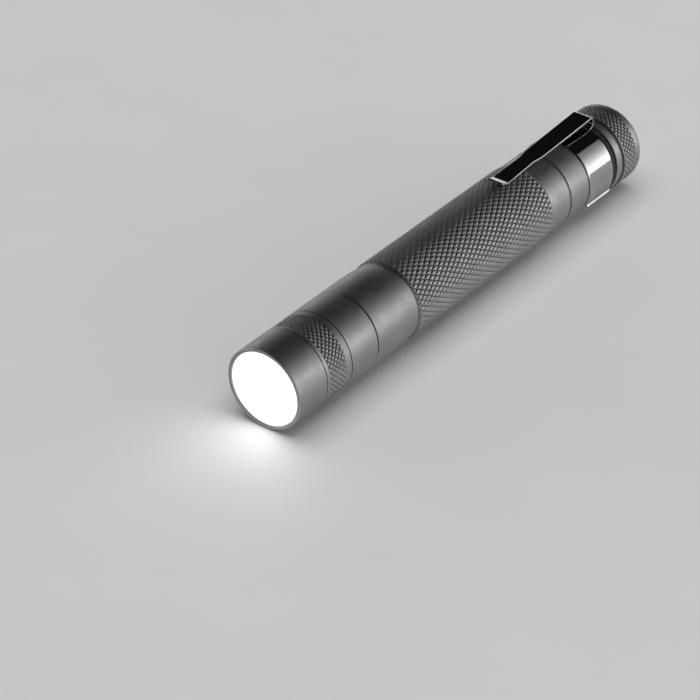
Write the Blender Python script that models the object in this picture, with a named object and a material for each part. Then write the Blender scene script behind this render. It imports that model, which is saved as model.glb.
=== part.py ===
"""Zoom flashlight with a sliding focus head, a knurled single-cell body, a sheet-metal pocket clip
and a screw-on tail cap with a push button.

Metres, +Z up. The light lies along X with its lens towards -X and its clip on top, and rests on z = 0.
Places along the axis are stations, measured back from the front rim.
"""

import math

import bmesh
import bpy
from mathutils import Matrix, Vector

MM = 0.001

# The cell, which sets the body's length and bore
CELL_DIAMETER = 14.5 * MM
CELL_LENGTH = 50.5 * MM
CELL_NUB_DIAMETER = 5.5 * MM
CELL_NUB_HEIGHT = 1.0 * MM
CELL_CLEARANCE = 0.25 * MM

# Clearances and gaps between pieces
SEAT_GAP = 0.1 * MM
THREAD_CLEARANCE = 0.1 * MM
SLIDE_CLEARANCE = 0.1 * MM
PARTING_GAP = 0.3 * MM
SEAL_SECTION = 1.1 * MM
SEAL_SQUEEZE_GAP = 0.06 * MM

# Turned edges
EDGE_CHAMFER = 0.2 * MM
GROOVE_WIDTH = 0.55 * MM
GROOVE_DEPTH = 0.3 * MM

# Diamond knurl, with one diamond on each facet of a shell: long ones on the grip, square ones on head and cap
KNURL_DEPTH = 0.3 * MM
GRIP_DIAMOND_LENGTH = 2.9 * MM
SQUARE_DIAMOND_LENGTH = 1.7 * MM

# Body tube
TUBE_WALL = 1.5 * MM
GRIP_CHAMFER = 0.3 * MM
LAND_STEP = 0.3 * MM
MIDDLE_LAND_LENGTH = 6.75 * MM
REAR_LAND_LENGTH = 7.2 * MM
NECK_SOCKET_WALL = 0.65 * MM

# Head
BEZEL_LENGTH = 8.5 * MM
BEZEL_WALL = 0.65 * MM
RIM_WIDTH = 1.05 * MM
RIM_CHAMFER = 0.4 * MM
LIP_THICKNESS = 0.8 * MM
LIP_CHAMFER = 0.25 * MM
SLEEVE_LENGTH = 16.35 * MM
SLEEVE_SPIGOT_WALL = 0.55 * MM
SLEEVE_GROOVE_PLACE = 7.3 * MM
SLEEVE_FRONT_LAND = 0.5 * MM
SLEEVE_KNURL_LENGTH = 5.8 * MM
BUSH_LENGTH = 8.15 * MM
STOP_SHOULDER = 0.4 * MM
ZOOM_TRAVEL = 6.0 * MM

# Lens
LENS_FRONT_SAG = 0.5 * MM
LENS_FLANGE_SETBACK = 0.65 * MM
LENS_FLANGE_THICKNESS = 1.6 * MM
LENS_FLANGE_WIDTH = 1.2 * MM
LENS_BACK_SAG = 3.4 * MM

# Neck housing
COLLAR_LENGTH = 13.45 * MM
COLLAR_STRAIGHT = 7.4 * MM
WAIST_STEP = 0.4 * MM
SLIDE_WALL = 0.95 * MM
STOP_RING_THICKNESS = 1.0 * MM
STOP_RING_DEPTH = 0.35 * MM
STOP_RING_OPENING = math.radians(24)
SLIDE_NOSE = 0.6 * MM
HEAT_WEB_LENGTH = 7.0 * MM
NECK_SPIGOT_WALL = 1.15 * MM
DRIVER_SHELF = 0.8 * MM

# Light source and driver
BOARD_THICKNESS = 1.4 * MM
EMITTER_SIDE = 3.45 * MM
EMITTER_BASE = 0.8 * MM
EMITTER_DOME_DIAMETER = 2.9 * MM
EMITTER_CLEARANCE = 0.36 * MM
LED_RETAINER_THICKNESS = 1.0 * MM
LED_RETAINER_FLARE = 1.0 * MM
WIRE_DIAMETER = 1.0 * MM
WIRE_OFFSET = 3.6 * MM
WIRE_BOW = 0.9 * MM
WIRE_HOLE_CLEARANCE = 0.3 * MM
WIRE_POINT_SPACING = 2.5 * MM
DRIVER_DEPTH = 4.0 * MM
INDUCTOR_DIAMETER = 4.2 * MM
INDUCTOR_HEIGHT = 3.0 * MM
INDUCTOR_FLANGE = 0.6 * MM
RETAINER_THICKNESS = 1.4 * MM
RETAINER_SPRING_CLEARANCE = 0.6 * MM

# Springs
CONTACT_SPRING_HEIGHT = 3.6 * MM
CONTACT_SPRING_BASE = 6.6 * MM
CONTACT_SPRING_TIP = 3.4 * MM
CONTACT_SPRING_WIRE = 0.6 * MM
CONTACT_SPRING_TURNS = 2.5
TAIL_SPRING_HEIGHT = 5.8 * MM
TAIL_SPRING_BASE = 8.4 * MM
TAIL_SPRING_TIP = 5.0 * MM
TAIL_SPRING_WIRE = 0.8 * MM
TAIL_SPRING_TURNS = 3.5
POINTS_PER_TURN = 10

# Tail cap and switch
CAP_LENGTH = 9.8 * MM
CAP_RING_LENGTH = 1.7 * MM
CAP_RING_STEP = 0.2 * MM
CAP_END_RING_LENGTH = 3.1 * MM
CAP_END_ROUNDING = 2.0 * MM
CAP_END_WALL = 2.6 * MM
CAP_SPIGOT_WALL = 1.15 * MM
CAP_THREAD_CLEARANCE = 0.15 * MM
SWITCH_DEPTH = 6.3 * MM
SWITCH_BOARD_THICKNESS = 1.0 * MM
SWITCH_BODY_LENGTH = 7.2 * MM
SWITCH_SPACER_WALL = 1.0 * MM
PLUNGER_DIAMETER = 3.2 * MM
PLUNGER_HOLE_CLEARANCE = 0.3 * MM
PLUNGER_HOLE_DEPTH = 2.2 * MM
BUTTON_DIAMETER = 8.8 * MM
BUTTON_HOLE_CLEARANCE = 0.2 * MM
BUTTON_RECESS = 0.4 * MM
BUTTON_CROWN = 0.5 * MM
BUTTON_FLANGE_THICKNESS = 1.2 * MM
BUTTON_TRAVEL = 1.2 * MM

# Pocket clip
CLIP_SHEET = 0.5 * MM
CLIP_CLEARANCE = 0.15 * MM
CLIP_SEAT_STEP = 0.7 * MM
CLIP_SEAT_LENGTH = 9.65 * MM
CLIP_WRAP = math.radians(114)
CLIP_LIP_REACH = 0.7 * MM
CLIP_FOLD_RISE = 2.25 * MM
CLIP_ARM_LENGTH = 29.9 * MM
CLIP_ARM_WIDTH = 4.6 * MM
CLIP_ARM_TAPER = 0.25 * MM
CLIP_NECK_WIDTH = 3.5 * MM
CLIP_TIP_WIDTH = 4.05 * MM
CLIP_NECK_PLACE = 19.6 * MM
CLIP_NECK_BLEND = 3.2 * MM
CLIP_TIP_GAP = 0.05 * MM
CLIP_FLARE_LENGTH = 2.7 * MM
CLIP_FLARE_RADIUS = 4.5 * MM

# Facets: round shells, smaller inner pieces, and the sections of seals and fillets
SHELL_FACETS = 32
INNER_FACETS = 20
SEAL_SIDES = 6
FILLET_STEPS = 3
CLIP_SIDE_STEPS = 10
CLIP_TONGUE_STEPS = 4
CLIP_LIP_STEPS = 3
CLIP_ARM_STEPS = 20
SMOOTH_ANGLE = math.radians(35)
WELD_DISTANCE = 0.001 * MM

# Radii that follow from the cell and the walls
CELL_RADIUS = CELL_DIAMETER / 2
TUBE_BORE = CELL_RADIUS + CELL_CLEARANCE
BODY_RADIUS = TUBE_BORE + TUBE_WALL
KNURL_ROOT = BODY_RADIUS - KNURL_DEPTH
LAND_RADIUS = BODY_RADIUS - LAND_STEP
CLIP_SEAT_RADIUS = BODY_RADIUS - CLIP_SEAT_STEP
NECK_SOCKET_BORE = KNURL_ROOT - NECK_SOCKET_WALL
NECK_SPIGOT_RADIUS = NECK_SOCKET_BORE - THREAD_CLEARANCE
DRIVER_BORE = NECK_SPIGOT_RADIUS - NECK_SPIGOT_WALL
LENS_BORE = BODY_RADIUS - BEZEL_WALL
LENS_RADIUS = LENS_BORE - THREAD_CLEARANCE
RIM_OPENING = BODY_RADIUS - RIM_WIDTH
SLEEVE_SPIGOT_RADIUS = LENS_BORE - THREAD_CLEARANCE
SLEEVE_BORE = SLEEVE_SPIGOT_RADIUS - SLEEVE_SPIGOT_WALL
BUSH_BORE = SLEEVE_BORE - STOP_SHOULDER
SLIDE_RADIUS = BUSH_BORE - SLIDE_CLEARANCE
LED_BORE = SLIDE_RADIUS - SLIDE_WALL
CAP_SPIGOT_RADIUS = TUBE_BORE - CAP_THREAD_CLEARANCE
TAIL_SEAL_OUTER = CLIP_SEAT_RADIUS + CLIP_CLEARANCE + SEAL_SQUEEZE_GAP
TAIL_SEAL_FLOOR = TAIL_SEAL_OUTER - SEAL_SECTION - SEAL_SQUEEZE_GAP
SWITCH_BORE = CAP_SPIGOT_RADIUS - CAP_SPIGOT_WALL
BUTTON_RADIUS = BUTTON_DIAMETER / 2
LED_RETAINER_OPENING = EMITTER_SIDE / math.sqrt(2) + EMITTER_CLEARANCE
RETAINER_OPENING = max(CONTACT_SPRING_BASE, TAIL_SPRING_BASE) / 2 + RETAINER_SPRING_CLEARANCE

# Stations along the axis, from the front rim back
LENS_FRONT = LIP_THICKNESS + SEAT_GAP - LENS_FLANGE_SETBACK
LENS_SEAL_FRONT = LIP_THICKNESS + 2 * SEAT_GAP + LENS_FLANGE_THICKNESS
SLEEVE_SPIGOT_FRONT = LENS_SEAL_FRONT + SEAL_SECTION + SEAT_GAP
SLEEVE_FRONT = BEZEL_LENGTH + PARTING_GAP
SLEEVE_REAR = SLEEVE_FRONT + SLEEVE_LENGTH
STOP_SHOULDER_STATION = SLEEVE_REAR - BUSH_LENGTH
COLLAR_FRONT = SLEEVE_REAR + PARTING_GAP
STOP_RING_REAR = STOP_SHOULDER_STATION - ZOOM_TRAVEL - SEAT_GAP / 2
STOP_RING_FRONT = STOP_RING_REAR - STOP_RING_THICKNESS
SLIDE_FRONT = STOP_RING_FRONT - SLIDE_NOSE
ZOOM_SEAL_STATION = STOP_SHOULDER_STATION + SEAL_SECTION
LED_RETAINER_FRONT = SLIDE_FRONT + SEAT_GAP
LED_BOARD_FRONT = LED_RETAINER_FRONT + LED_RETAINER_THICKNESS + SEAT_GAP
LED_FLOOR = LED_BOARD_FRONT + BOARD_THICKNESS + SEAT_GAP
COLLAR_REAR = COLLAR_FRONT + COLLAR_LENGTH
TUBE_FRONT = COLLAR_REAR + PARTING_GAP
DRIVER_FRONT = TUBE_FRONT + DRIVER_DEPTH
DRIVER_REAR = DRIVER_FRONT + BOARD_THICKNESS
NECK_REAR = DRIVER_REAR + RETAINER_THICKNESS + 2 * SEAT_GAP
NECK_SEAL_STATION = TUBE_FRONT + 1.5 * SEAL_SECTION
CELL_FRONT = DRIVER_REAR + CONTACT_SPRING_HEIGHT + 2 * SEAT_GAP
CELL_REAR = CELL_FRONT + CELL_LENGTH
SWITCH_BOARD_FRONT = CELL_REAR + TAIL_SPRING_HEIGHT + 2 * SEAT_GAP
CAP_FRONT = SWITCH_BOARD_FRONT + SWITCH_DEPTH
TAIL_SEAL_FRONT = CAP_FRONT - SEAT_GAP / 2 - SEAL_SECTION
TUBE_REAR = TAIL_SEAL_FRONT - SEAT_GAP / 2
CAP_SPIGOT_FRONT = SWITCH_BOARD_FRONT - RETAINER_THICKNESS - 3 * SEAT_GAP
SWITCH_BODY_FRONT = SWITCH_BOARD_FRONT + SWITCH_BOARD_THICKNESS + SEAT_GAP
SWITCH_SPACER_FRONT = SWITCH_BODY_FRONT + SWITCH_BODY_LENGTH + SEAT_GAP
TOTAL_LENGTH = CAP_FRONT + CAP_LENGTH
CAP_FLOOR = TOTAL_LENGTH - CAP_END_WALL
BUTTON_FRONT = CAP_FLOOR - SEAT_GAP - BUTTON_FLANGE_THICKNESS
SWITCH_SPACER_REAR = BUTTON_FRONT - BUTTON_TRAVEL - SEAT_GAP
CLIP_SHOULDER = TUBE_REAR - CLIP_SEAT_LENGTH
CLIP_BAND_LENGTH = CLIP_SEAT_LENGTH - CLIP_CLEARANCE - EDGE_CHAMFER

# The light lies on one row of facets
AXIS_HEIGHT = BODY_RADIUS * math.cos(math.pi / SHELL_FACETS)


def clear_scene():
    for leftover in list(bpy.data.objects):
        bpy.data.objects.remove(leftover)


def finish(name, colour, roughness, metallic):
    """A Principled BSDF material with one colour."""
    material = bpy.data.materials.new(name)
    material.use_nodes = True
    shader = material.node_tree.nodes["Principled BSDF"]
    shader.inputs["Base Color"].default_value = (*colour, 1.0)
    shader.inputs["Roughness"].default_value = roughness
    shader.inputs["Metallic"].default_value = metallic
    material.diffuse_color = (*colour, 1.0)
    return material


def axis_empty(name, station, parent=None):
    """An empty on the light's axis, which carries the pieces that move together."""
    empty = bpy.data.objects.new(name, None)
    bpy.context.scene.collection.objects.link(empty)
    if parent is None:
        empty.location = (station - TOTAL_LENGTH / 2, 0.0, AXIS_HEIGHT)
    else:
        empty.parent = parent
        empty.location = (station - parent["station"], 0.0, 0.0)
    empty["station"] = station
    return empty


def add_piece(name, data, material, carrier, station):
    """An object whose own origin lies on the axis at a station, carried by an empty."""
    piece = bpy.data.objects.new(name, data)
    bpy.context.scene.collection.objects.link(piece)
    piece.data.materials.append(material)
    piece.parent = carrier
    piece.location = (station - carrier["station"], 0.0, 0.0)
    return piece


def shade(mesh):
    mesh.shade_smooth()
    mesh.set_sharp_from_angle(angle=SMOOTH_ANGLE)


def knurl_rows(front, rear, diamond_length):
    """Outline points of a band to be knurled: its ends at the root, and rows half a diamond apart between."""
    count = max(2, round(2 * (rear - front) / diamond_length))
    rows = [(front + (rear - front) * row / count, BODY_RADIUS) for row in range(1, count)]
    return [(front, KNURL_ROOT), *rows, (rear, KNURL_ROOT)]


def press_knurl(shell, rows, facets):
    """Press a diamond knurl into a turned band.

    The edges round the band are halved, and every second point, as on a chessboard, goes in by the knurl's
    depth. A crease between the low points of each face makes a pyramid of each high point.
    """
    front = rows[0][0]
    rear = rows[-1][0]
    spacing = (rear - front) / (len(rows) - 1)
    facet_root = KNURL_ROOT * math.cos(math.pi / facets)

    def on_band(vert):
        outer = math.hypot(vert.co.y, vert.co.z) > facet_root - WELD_DISTANCE
        return outer and front - WELD_DISTANCE < vert.co.x < rear + WELD_DISTANCE

    def runs_round(edge):
        start, end = edge.verts
        return on_band(start) and on_band(end) and abs(start.co.x - end.co.x) < WELD_DISTANCE

    round_edges = [edge for edge in shell.edges if runs_round(edge)]
    bmesh.ops.subdivide_edges(shell, edges=round_edges, cuts=1, use_single_edge=True)
    band = {vert for vert in shell.verts if on_band(vert)}
    low = set()
    for vert in band:
        row = round((vert.co.x - front) / spacing)
        column = round(math.atan2(vert.co.z, vert.co.y) * facets / math.pi)
        if row in (0, len(rows) - 1):
            low.add(vert)
        elif (row + column) % 2:
            low.add(vert)
            outward = Vector((0.0, vert.co.y, vert.co.z)).normalized()
            vert.co -= KNURL_DEPTH * outward
    for face in [face for face in shell.faces if band.issuperset(face.verts)]:
        corners = list(face.verts)
        crest = next(place for place, vert in enumerate(corners) if vert not in low)
        bmesh.utils.face_split(face, corners[crest - 1], corners[(crest + 1) % len(corners)])


def turned_mesh(name, outline, facets, sweep=math.tau, knurl=()):
    """The solid that an outline of (along, radius) points makes when it spins round the X axis.

    An outline whose two ends lie on the axis is open there. Any other outline is a closed loop.
    A sweep of less than a full turn gets an end face at each end. Rows given as a knurl get its diamonds.
    """
    whole = sweep == math.tau
    on_axis = outline[0][1] == 0.0 and outline[-1][1] == 0.0
    shell = bmesh.new()
    start = Matrix.Rotation(math.pi / facets, 3, "X")
    points = [shell.verts.new(start @ Vector((along, 0.0, radius))) for along, radius in outline]
    edges = [shell.edges.new(pair) for pair in zip(points, points[1:])]
    if not on_axis:
        edges.append(shell.edges.new((points[-1], points[0])))
    bmesh.ops.spin(
        shell, geom=points + edges, cent=(0, 0, 0), axis=(1, 0, 0), angle=sweep, steps=facets, use_merge=whole
    )
    bmesh.ops.remove_doubles(shell, verts=shell.verts, dist=WELD_DISTANCE)
    if not whole:
        bmesh.ops.holes_fill(shell, edges=shell.edges)
    if knurl:
        press_knurl(shell, knurl, facets)
    bmesh.ops.recalc_face_normals(shell, faces=shell.faces)
    mesh = bpy.data.meshes.new(name)
    shell.to_mesh(mesh)
    shell.free()
    shade(mesh)
    return mesh


def turned(name, outline, material, carrier, station, facets=INNER_FACETS, sweep=math.tau, knurl=()):
    return add_piece(name, turned_mesh(name, outline, facets, sweep, knurl), material, carrier, station)


def cut(piece, cutter):
    """Take a cutter's shape out of a piece."""
    cutter.hide_render = True
    cutter.display_type = "WIRE"
    difference = piece.modifiers.new("cut_" + cutter.name, "BOOLEAN")
    difference.operation = "DIFFERENCE"
    difference.solver = "EXACT"
    difference.object = cutter


def arc(centre, radius, start, end, steps):
    """Points of a circle arc in the (along, radius) plane, from one angle to another in degrees."""
    angles = [math.radians(start + (end - start) * step / steps) for step in range(steps + 1)]
    return [(centre[0] + radius * math.cos(a), centre[1] + radius * math.sin(a)) for a in angles]


def dome(radius, sag, steps):
    """Points of a spherical cap from its apex at along = 0 out to its rim at along = sag."""
    curvature = (radius**2 + sag**2) / (2 * sag)
    half_angle = math.asin(radius / curvature)
    angles = [half_angle * step / steps for step in range(steps + 1)]
    return [(curvature * (1 - math.cos(a)), curvature * math.sin(a)) for a in angles]


def groove(place, floor_radius, wall_radius):
    """A square turned groove in an outer wall, centred at a place along the axis."""
    front = place - GROOVE_WIDTH / 2
    rear = place + GROOVE_WIDTH / 2
    return [(front, wall_radius), (front, floor_radius), (rear, floor_radius), (rear, wall_radius)]


def seal_groove(place, wall_radius):
    """A groove for a seal ring in an outer wall, deep enough for the ring to stay just under its bore."""
    half = SEAL_SECTION / 2 + SEAT_GAP
    floor_radius = wall_radius + SLIDE_CLEARANCE - SEAL_SECTION - 3 * SEAL_SQUEEZE_GAP
    return [(place - half, wall_radius), (place - half, floor_radius),
            (place + half, floor_radius), (place + half, wall_radius)]


def disc(radius, thickness):
    return [(0.0, 0.0), (0.0, radius), (thickness, radius), (thickness, 0.0)]


def ring(inner, outer, thickness):
    return [(0.0, inner), (0.0, outer), (thickness, outer), (thickness, inner)]


def seal(name, outer_radius, station, material, carrier):
    """A rubber ring of round section whose front lies at a station."""
    half = SEAL_SECTION / 2
    section = arc((half, outer_radius - half), half, 0, 360, SEAL_SIDES)[:-1]
    return turned(name, section, material, carrier, station)


def make_bezel(material, head):
    length = BEZEL_LENGTH
    outline = [
        (0.0, BODY_RADIUS - RIM_CHAMFER),
        (RIM_CHAMFER, BODY_RADIUS),
        (length - EDGE_CHAMFER, BODY_RADIUS),
        (length, BODY_RADIUS - EDGE_CHAMFER),
        (length, LENS_BORE),
        (LIP_THICKNESS, LENS_BORE),
        (LIP_THICKNESS, RIM_OPENING),
        (LIP_CHAMFER, RIM_OPENING),
        (0.0, RIM_OPENING + LIP_CHAMFER),
    ]
    return turned("front_bezel", outline, material, head, 0.0, SHELL_FACETS)


def make_lens(material, head):
    """A lens with a shallow front face, a flange that the bezel's lip holds, and a deep rear dome."""
    flange_rear = LENS_FLANGE_SETBACK + LENS_FLANGE_THICKNESS
    front = dome(RIM_OPENING - THREAD_CLEARANCE, LENS_FRONT_SAG, FILLET_STEPS)
    back = dome(LENS_RADIUS - LENS_FLANGE_WIDTH, LENS_BACK_SAG, 2 * FILLET_STEPS)
    flange = [
        (LENS_FLANGE_SETBACK, RIM_OPENING - THREAD_CLEARANCE),
        (LENS_FLANGE_SETBACK, LENS_RADIUS),
        (flange_rear, LENS_RADIUS),
    ]
    rear = [(flange_rear + LENS_BACK_SAG - along, radius) for along, radius in reversed(back)]
    return turned("lens", front + flange + rear, material, head, LENS_FRONT, SHELL_FACETS)


def make_sleeve(material, head):
    spigot = SLEEVE_SPIGOT_FRONT - SLEEVE_FRONT
    shoulder = STOP_SHOULDER_STATION - SLEEVE_FRONT
    length = SLEEVE_LENGTH
    knurl_front = SLEEVE_FRONT_LAND + KNURL_DEPTH
    knurl_rear = knurl_front + SLEEVE_KNURL_LENGTH
    knurl = knurl_rows(knurl_front, knurl_rear, SQUARE_DIAMOND_LENGTH)
    outline = [
        (spigot, SLEEVE_BORE),
        (spigot, SLEEVE_SPIGOT_RADIUS),
        (0.0, SLEEVE_SPIGOT_RADIUS),
        (0.0, BODY_RADIUS - EDGE_CHAMFER),
        (EDGE_CHAMFER, BODY_RADIUS),
        (SLEEVE_FRONT_LAND, BODY_RADIUS),
        *knurl,
        (knurl_rear + KNURL_DEPTH, BODY_RADIUS),
        *groove(SLEEVE_GROOVE_PLACE, BODY_RADIUS - GROOVE_DEPTH, BODY_RADIUS),
        (length - EDGE_CHAMFER, BODY_RADIUS),
        (length, BODY_RADIUS - EDGE_CHAMFER),
        (length, BUSH_BORE),
        (shoulder, BUSH_BORE),
        (shoulder, SLEEVE_BORE),
    ]
    return turned("head_sleeve", outline, material, head, SLEEVE_FRONT, SHELL_FACETS, knurl=knurl)


def waist_curve():
    """The collar's long soft taper, an arc that leaves the straight wall tangentially."""
    reach = COLLAR_LENGTH - EDGE_CHAMFER - COLLAR_STRAIGHT
    radius = (reach**2 + WAIST_STEP**2) / (2 * WAIST_STEP)
    end = 90 - math.degrees(math.asin(reach / radius))
    return arc((COLLAR_STRAIGHT, BODY_RADIUS - radius), radius, 90, end, 2 * FILLET_STEPS)


def make_neck(material, barrel):
    """The slide tube, collar and threaded spigot in one piece, with a solid web that carries off the heat."""
    here = COLLAR_FRONT
    ring_floor = SLEEVE_BORE - SLIDE_CLEARANCE - STOP_SHOULDER - STOP_RING_DEPTH
    web_rear = LED_FLOOR + HEAT_WEB_LENGTH - here
    shelf = DRIVER_FRONT - SEAT_GAP - here
    outline = [
        (LED_FLOOR - here, 0.0),
        (LED_FLOOR - here, LED_BORE),
        (SLIDE_FRONT - here, LED_BORE),
        (SLIDE_FRONT - here, SLIDE_RADIUS),
        (STOP_RING_FRONT - SEAT_GAP - here, SLIDE_RADIUS),
        (STOP_RING_FRONT - SEAT_GAP - here, ring_floor),
        (STOP_RING_REAR + SEAT_GAP - here, ring_floor),
        (STOP_RING_REAR + SEAT_GAP - here, SLIDE_RADIUS),
        *seal_groove(ZOOM_SEAL_STATION - here, SLIDE_RADIUS),
        (0.0, SLIDE_RADIUS),
        (0.0, BODY_RADIUS - EDGE_CHAMFER),
        (EDGE_CHAMFER, BODY_RADIUS),
        *waist_curve(),
        (COLLAR_LENGTH, BODY_RADIUS - WAIST_STEP - EDGE_CHAMFER),
        (COLLAR_LENGTH, NECK_SPIGOT_RADIUS),
        *seal_groove(NECK_SEAL_STATION - here, NECK_SPIGOT_RADIUS),
        (NECK_REAR - here, NECK_SPIGOT_RADIUS),
        (NECK_REAR - here, DRIVER_BORE),
        (shelf, DRIVER_BORE),
        (shelf, DRIVER_BORE - DRIVER_SHELF),
        (web_rear, LED_BORE - SLIDE_WALL),
        (web_rear, 0.0),
    ]
    neck = turned("neck_housing", outline, material, barrel, here, SHELL_FACETS)
    hole = disc(WIRE_DIAMETER / 2 + WIRE_HOLE_CLEARANCE, HEAT_WEB_LENGTH + 2 * PARTING_GAP)
    for side in (-1, 1):
        name = "wire_hole_" + ("left" if side < 0 else "right")
        cutter = turned(name, hole, material, barrel, LED_FLOOR - PARTING_GAP)
        cutter.location.y = side * WIRE_OFFSET
        cut(neck, cutter)
    return neck


def make_stop_ring(material, barrel):
    """An open snap ring in the slide tube's groove, which meets the sleeve's shoulder at full zoom."""
    outer = SLEEVE_BORE - SLIDE_CLEARANCE
    inner = outer - STOP_SHOULDER - STOP_RING_DEPTH + SEAT_GAP
    outline = ring(inner, outer, STOP_RING_THICKNESS)
    sweep = math.tau - STOP_RING_OPENING
    return turned("zoom_stop_ring", outline, material, barrel, STOP_RING_FRONT, SHELL_FACETS, sweep)


def make_emitter(material, barrel):
    """A square base with a round dome on its front face."""
    base = bmesh.new()
    bmesh.ops.create_cube(base, size=1.0)
    bmesh.ops.scale(base, vec=(EMITTER_BASE, EMITTER_SIDE, EMITTER_SIDE), verts=base.verts)
    bmesh.ops.translate(base, vec=(-EMITTER_BASE / 2, 0.0, 0.0), verts=base.verts)
    mesh = bpy.data.meshes.new("led_emitter")
    base.to_mesh(mesh)
    base.free()
    emitter = add_piece("led_emitter", mesh, material, barrel, LED_BOARD_FRONT - SEAT_GAP)
    radius = EMITTER_DOME_DIAMETER / 2
    half_ball = arc((-EMITTER_BASE, 0.0), radius, 180, 90, FILLET_STEPS)
    outline = [(half_ball[0][0], 0.0), *half_ball[1:], (-EMITTER_BASE / 2, radius), (-EMITTER_BASE / 2, 0.0)]
    cap = turned("emitter_dome", outline, material, barrel, LED_BOARD_FRONT - SEAT_GAP)
    cap.hide_render = True
    cap.display_type = "WIRE"
    union = emitter.modifiers.new("dome", "BOOLEAN")
    union.operation = "UNION"
    union.solver = "EXACT"
    union.object = cap
    return emitter


def make_led_retainer(material, barrel):
    thickness = LED_RETAINER_THICKNESS
    outline = [
        (0.0, LED_RETAINER_OPENING + LED_RETAINER_FLARE),
        (0.0, LED_BORE - THREAD_CLEARANCE),
        (thickness, LED_BORE - THREAD_CLEARANCE),
        (thickness, LED_RETAINER_OPENING),
    ]
    return turned("led_retainer", outline, material, barrel, LED_RETAINER_FRONT)


def tube_curve(name, points, diameter, material, carrier, station):
    """A round wire along a list of points."""
    curve = bpy.data.curves.new(name, "CURVE")
    curve.dimensions = "3D"
    curve.bevel_depth = diameter / 2
    curve.bevel_resolution = 1
    curve.use_fill_caps = True
    spline = curve.splines.new("POLY")
    spline.points.add(len(points) - 1)
    for place, point in zip(spline.points, points):
        place.co = (*point, 1.0)
    return add_piece(name, curve, material, carrier, station)


def make_led_wire(name, side, material, barrel):
    """A lead from the light board through its hole in the web, then in a slack bow back to the driver."""
    start = LED_FLOOR
    length = DRIVER_FRONT - SEAT_GAP - start
    bow_start = HEAT_WEB_LENGTH + WIRE_DIAMETER
    steps = round(length / WIRE_POINT_SPACING)
    points = []
    for step in range(steps + 1):
        along = length * step / steps
        share = max(0.0, (along - bow_start) / (length - bow_start))
        points.append((along, side * WIRE_OFFSET, WIRE_BOW * math.sin(math.pi * share) ** 2))
    return tube_curve(name, points, WIRE_DIAMETER, material, barrel, start)


def helix(base, tip, wire, height, turns):
    """Wire centres of a conical spring along +X, from its wide base to its narrow tip."""
    steps = round(turns * POINTS_PER_TURN)
    rise = height - wire
    points = []
    for step in range(steps + 1):
        share = step / steps
        radius = (base + (tip - base) * share - wire) / 2
        angle = math.tau * turns * share
        points.append(Vector((wire / 2 + rise * share, radius * math.cos(angle), radius * math.sin(angle))))
    return points


def least_self_gap(points, wire):
    """The smallest free distance between curls, measured between points half a turn or more apart."""
    apart = POINTS_PER_TURN // 2
    gaps = [(a - b).length for i, a in enumerate(points) for b in points[i + apart:]]
    return min(gaps) - wire


def make_spring(name, points, wire, material, carrier, station):
    print(f"{name}: least gap between curls {least_self_gap(points, wire) / MM:.2f} mm")
    return tube_curve(name, points, wire, material, carrier, station)


def make_contact_spring(material, barrel):
    wire = CONTACT_SPRING_WIRE
    points = helix(CONTACT_SPRING_BASE, CONTACT_SPRING_TIP, wire, CONTACT_SPRING_HEIGHT, CONTACT_SPRING_TURNS)
    station = DRIVER_REAR + SEAT_GAP
    return make_spring("positive_contact_spring", points, wire, material, barrel, station)


def make_tail_spring(material, cap):
    points = helix(TAIL_SPRING_BASE, TAIL_SPRING_TIP, TAIL_SPRING_WIRE, TAIL_SPRING_HEIGHT, TAIL_SPRING_TURNS)
    points = [Vector((-point.x, point.y, point.z)) for point in points]
    station = SWITCH_BOARD_FRONT - SEAT_GAP
    return make_spring("tail_spring", points, TAIL_SPRING_WIRE, material, cap, station)


def make_inductor(material, barrel):
    """A wound drum core: two flanges with a narrower winding between them."""
    radius = INDUCTOR_DIAMETER / 2
    waist = radius - INDUCTOR_FLANGE
    outline = [
        (0.0, 0.0),
        (0.0, radius),
        (INDUCTOR_FLANGE, radius),
        (INDUCTOR_FLANGE, waist),
        (INDUCTOR_HEIGHT - INDUCTOR_FLANGE, waist),
        (INDUCTOR_HEIGHT - INDUCTOR_FLANGE, radius),
        (INDUCTOR_HEIGHT, radius),
        (INDUCTOR_HEIGHT, 0.0),
    ]
    station = DRIVER_FRONT - SEAT_GAP - INDUCTOR_HEIGHT
    return turned("driver_inductor", outline, material, barrel, station)


def make_body_tube(material, barrel):
    """The grip, two lands with a groove between them, and the clip's seat, over one bore for the cell."""
    length = TUBE_REAR - TUBE_FRONT
    seat = CLIP_SHOULDER - TUBE_FRONT
    rear_groove = seat - REAR_LAND_LENGTH - GROOVE_WIDTH / 2
    grip_end = rear_groove - GROOVE_WIDTH / 2 - MIDDLE_LAND_LENGTH
    socket = NECK_REAR + PARTING_GAP - TUBE_FRONT
    knurl = knurl_rows(GRIP_CHAMFER, grip_end, GRIP_DIAMOND_LENGTH)
    outline = [
        (0.0, NECK_SOCKET_BORE),
        (0.0, KNURL_ROOT - GRIP_CHAMFER),
        *knurl,
        (grip_end, LAND_RADIUS),
        *groove(rear_groove, LAND_RADIUS - GROOVE_DEPTH, LAND_RADIUS),
        (seat, LAND_RADIUS),
        (seat, CLIP_SEAT_RADIUS),
        (length - EDGE_CHAMFER, CLIP_SEAT_RADIUS),
        (length, CLIP_SEAT_RADIUS - EDGE_CHAMFER),
        (length, TUBE_BORE),
        (socket, TUBE_BORE),
        (socket, NECK_SOCKET_BORE),
    ]
    return turned("body_tube", outline, material, barrel, TUBE_FRONT, SHELL_FACETS, knurl=knurl)


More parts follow.
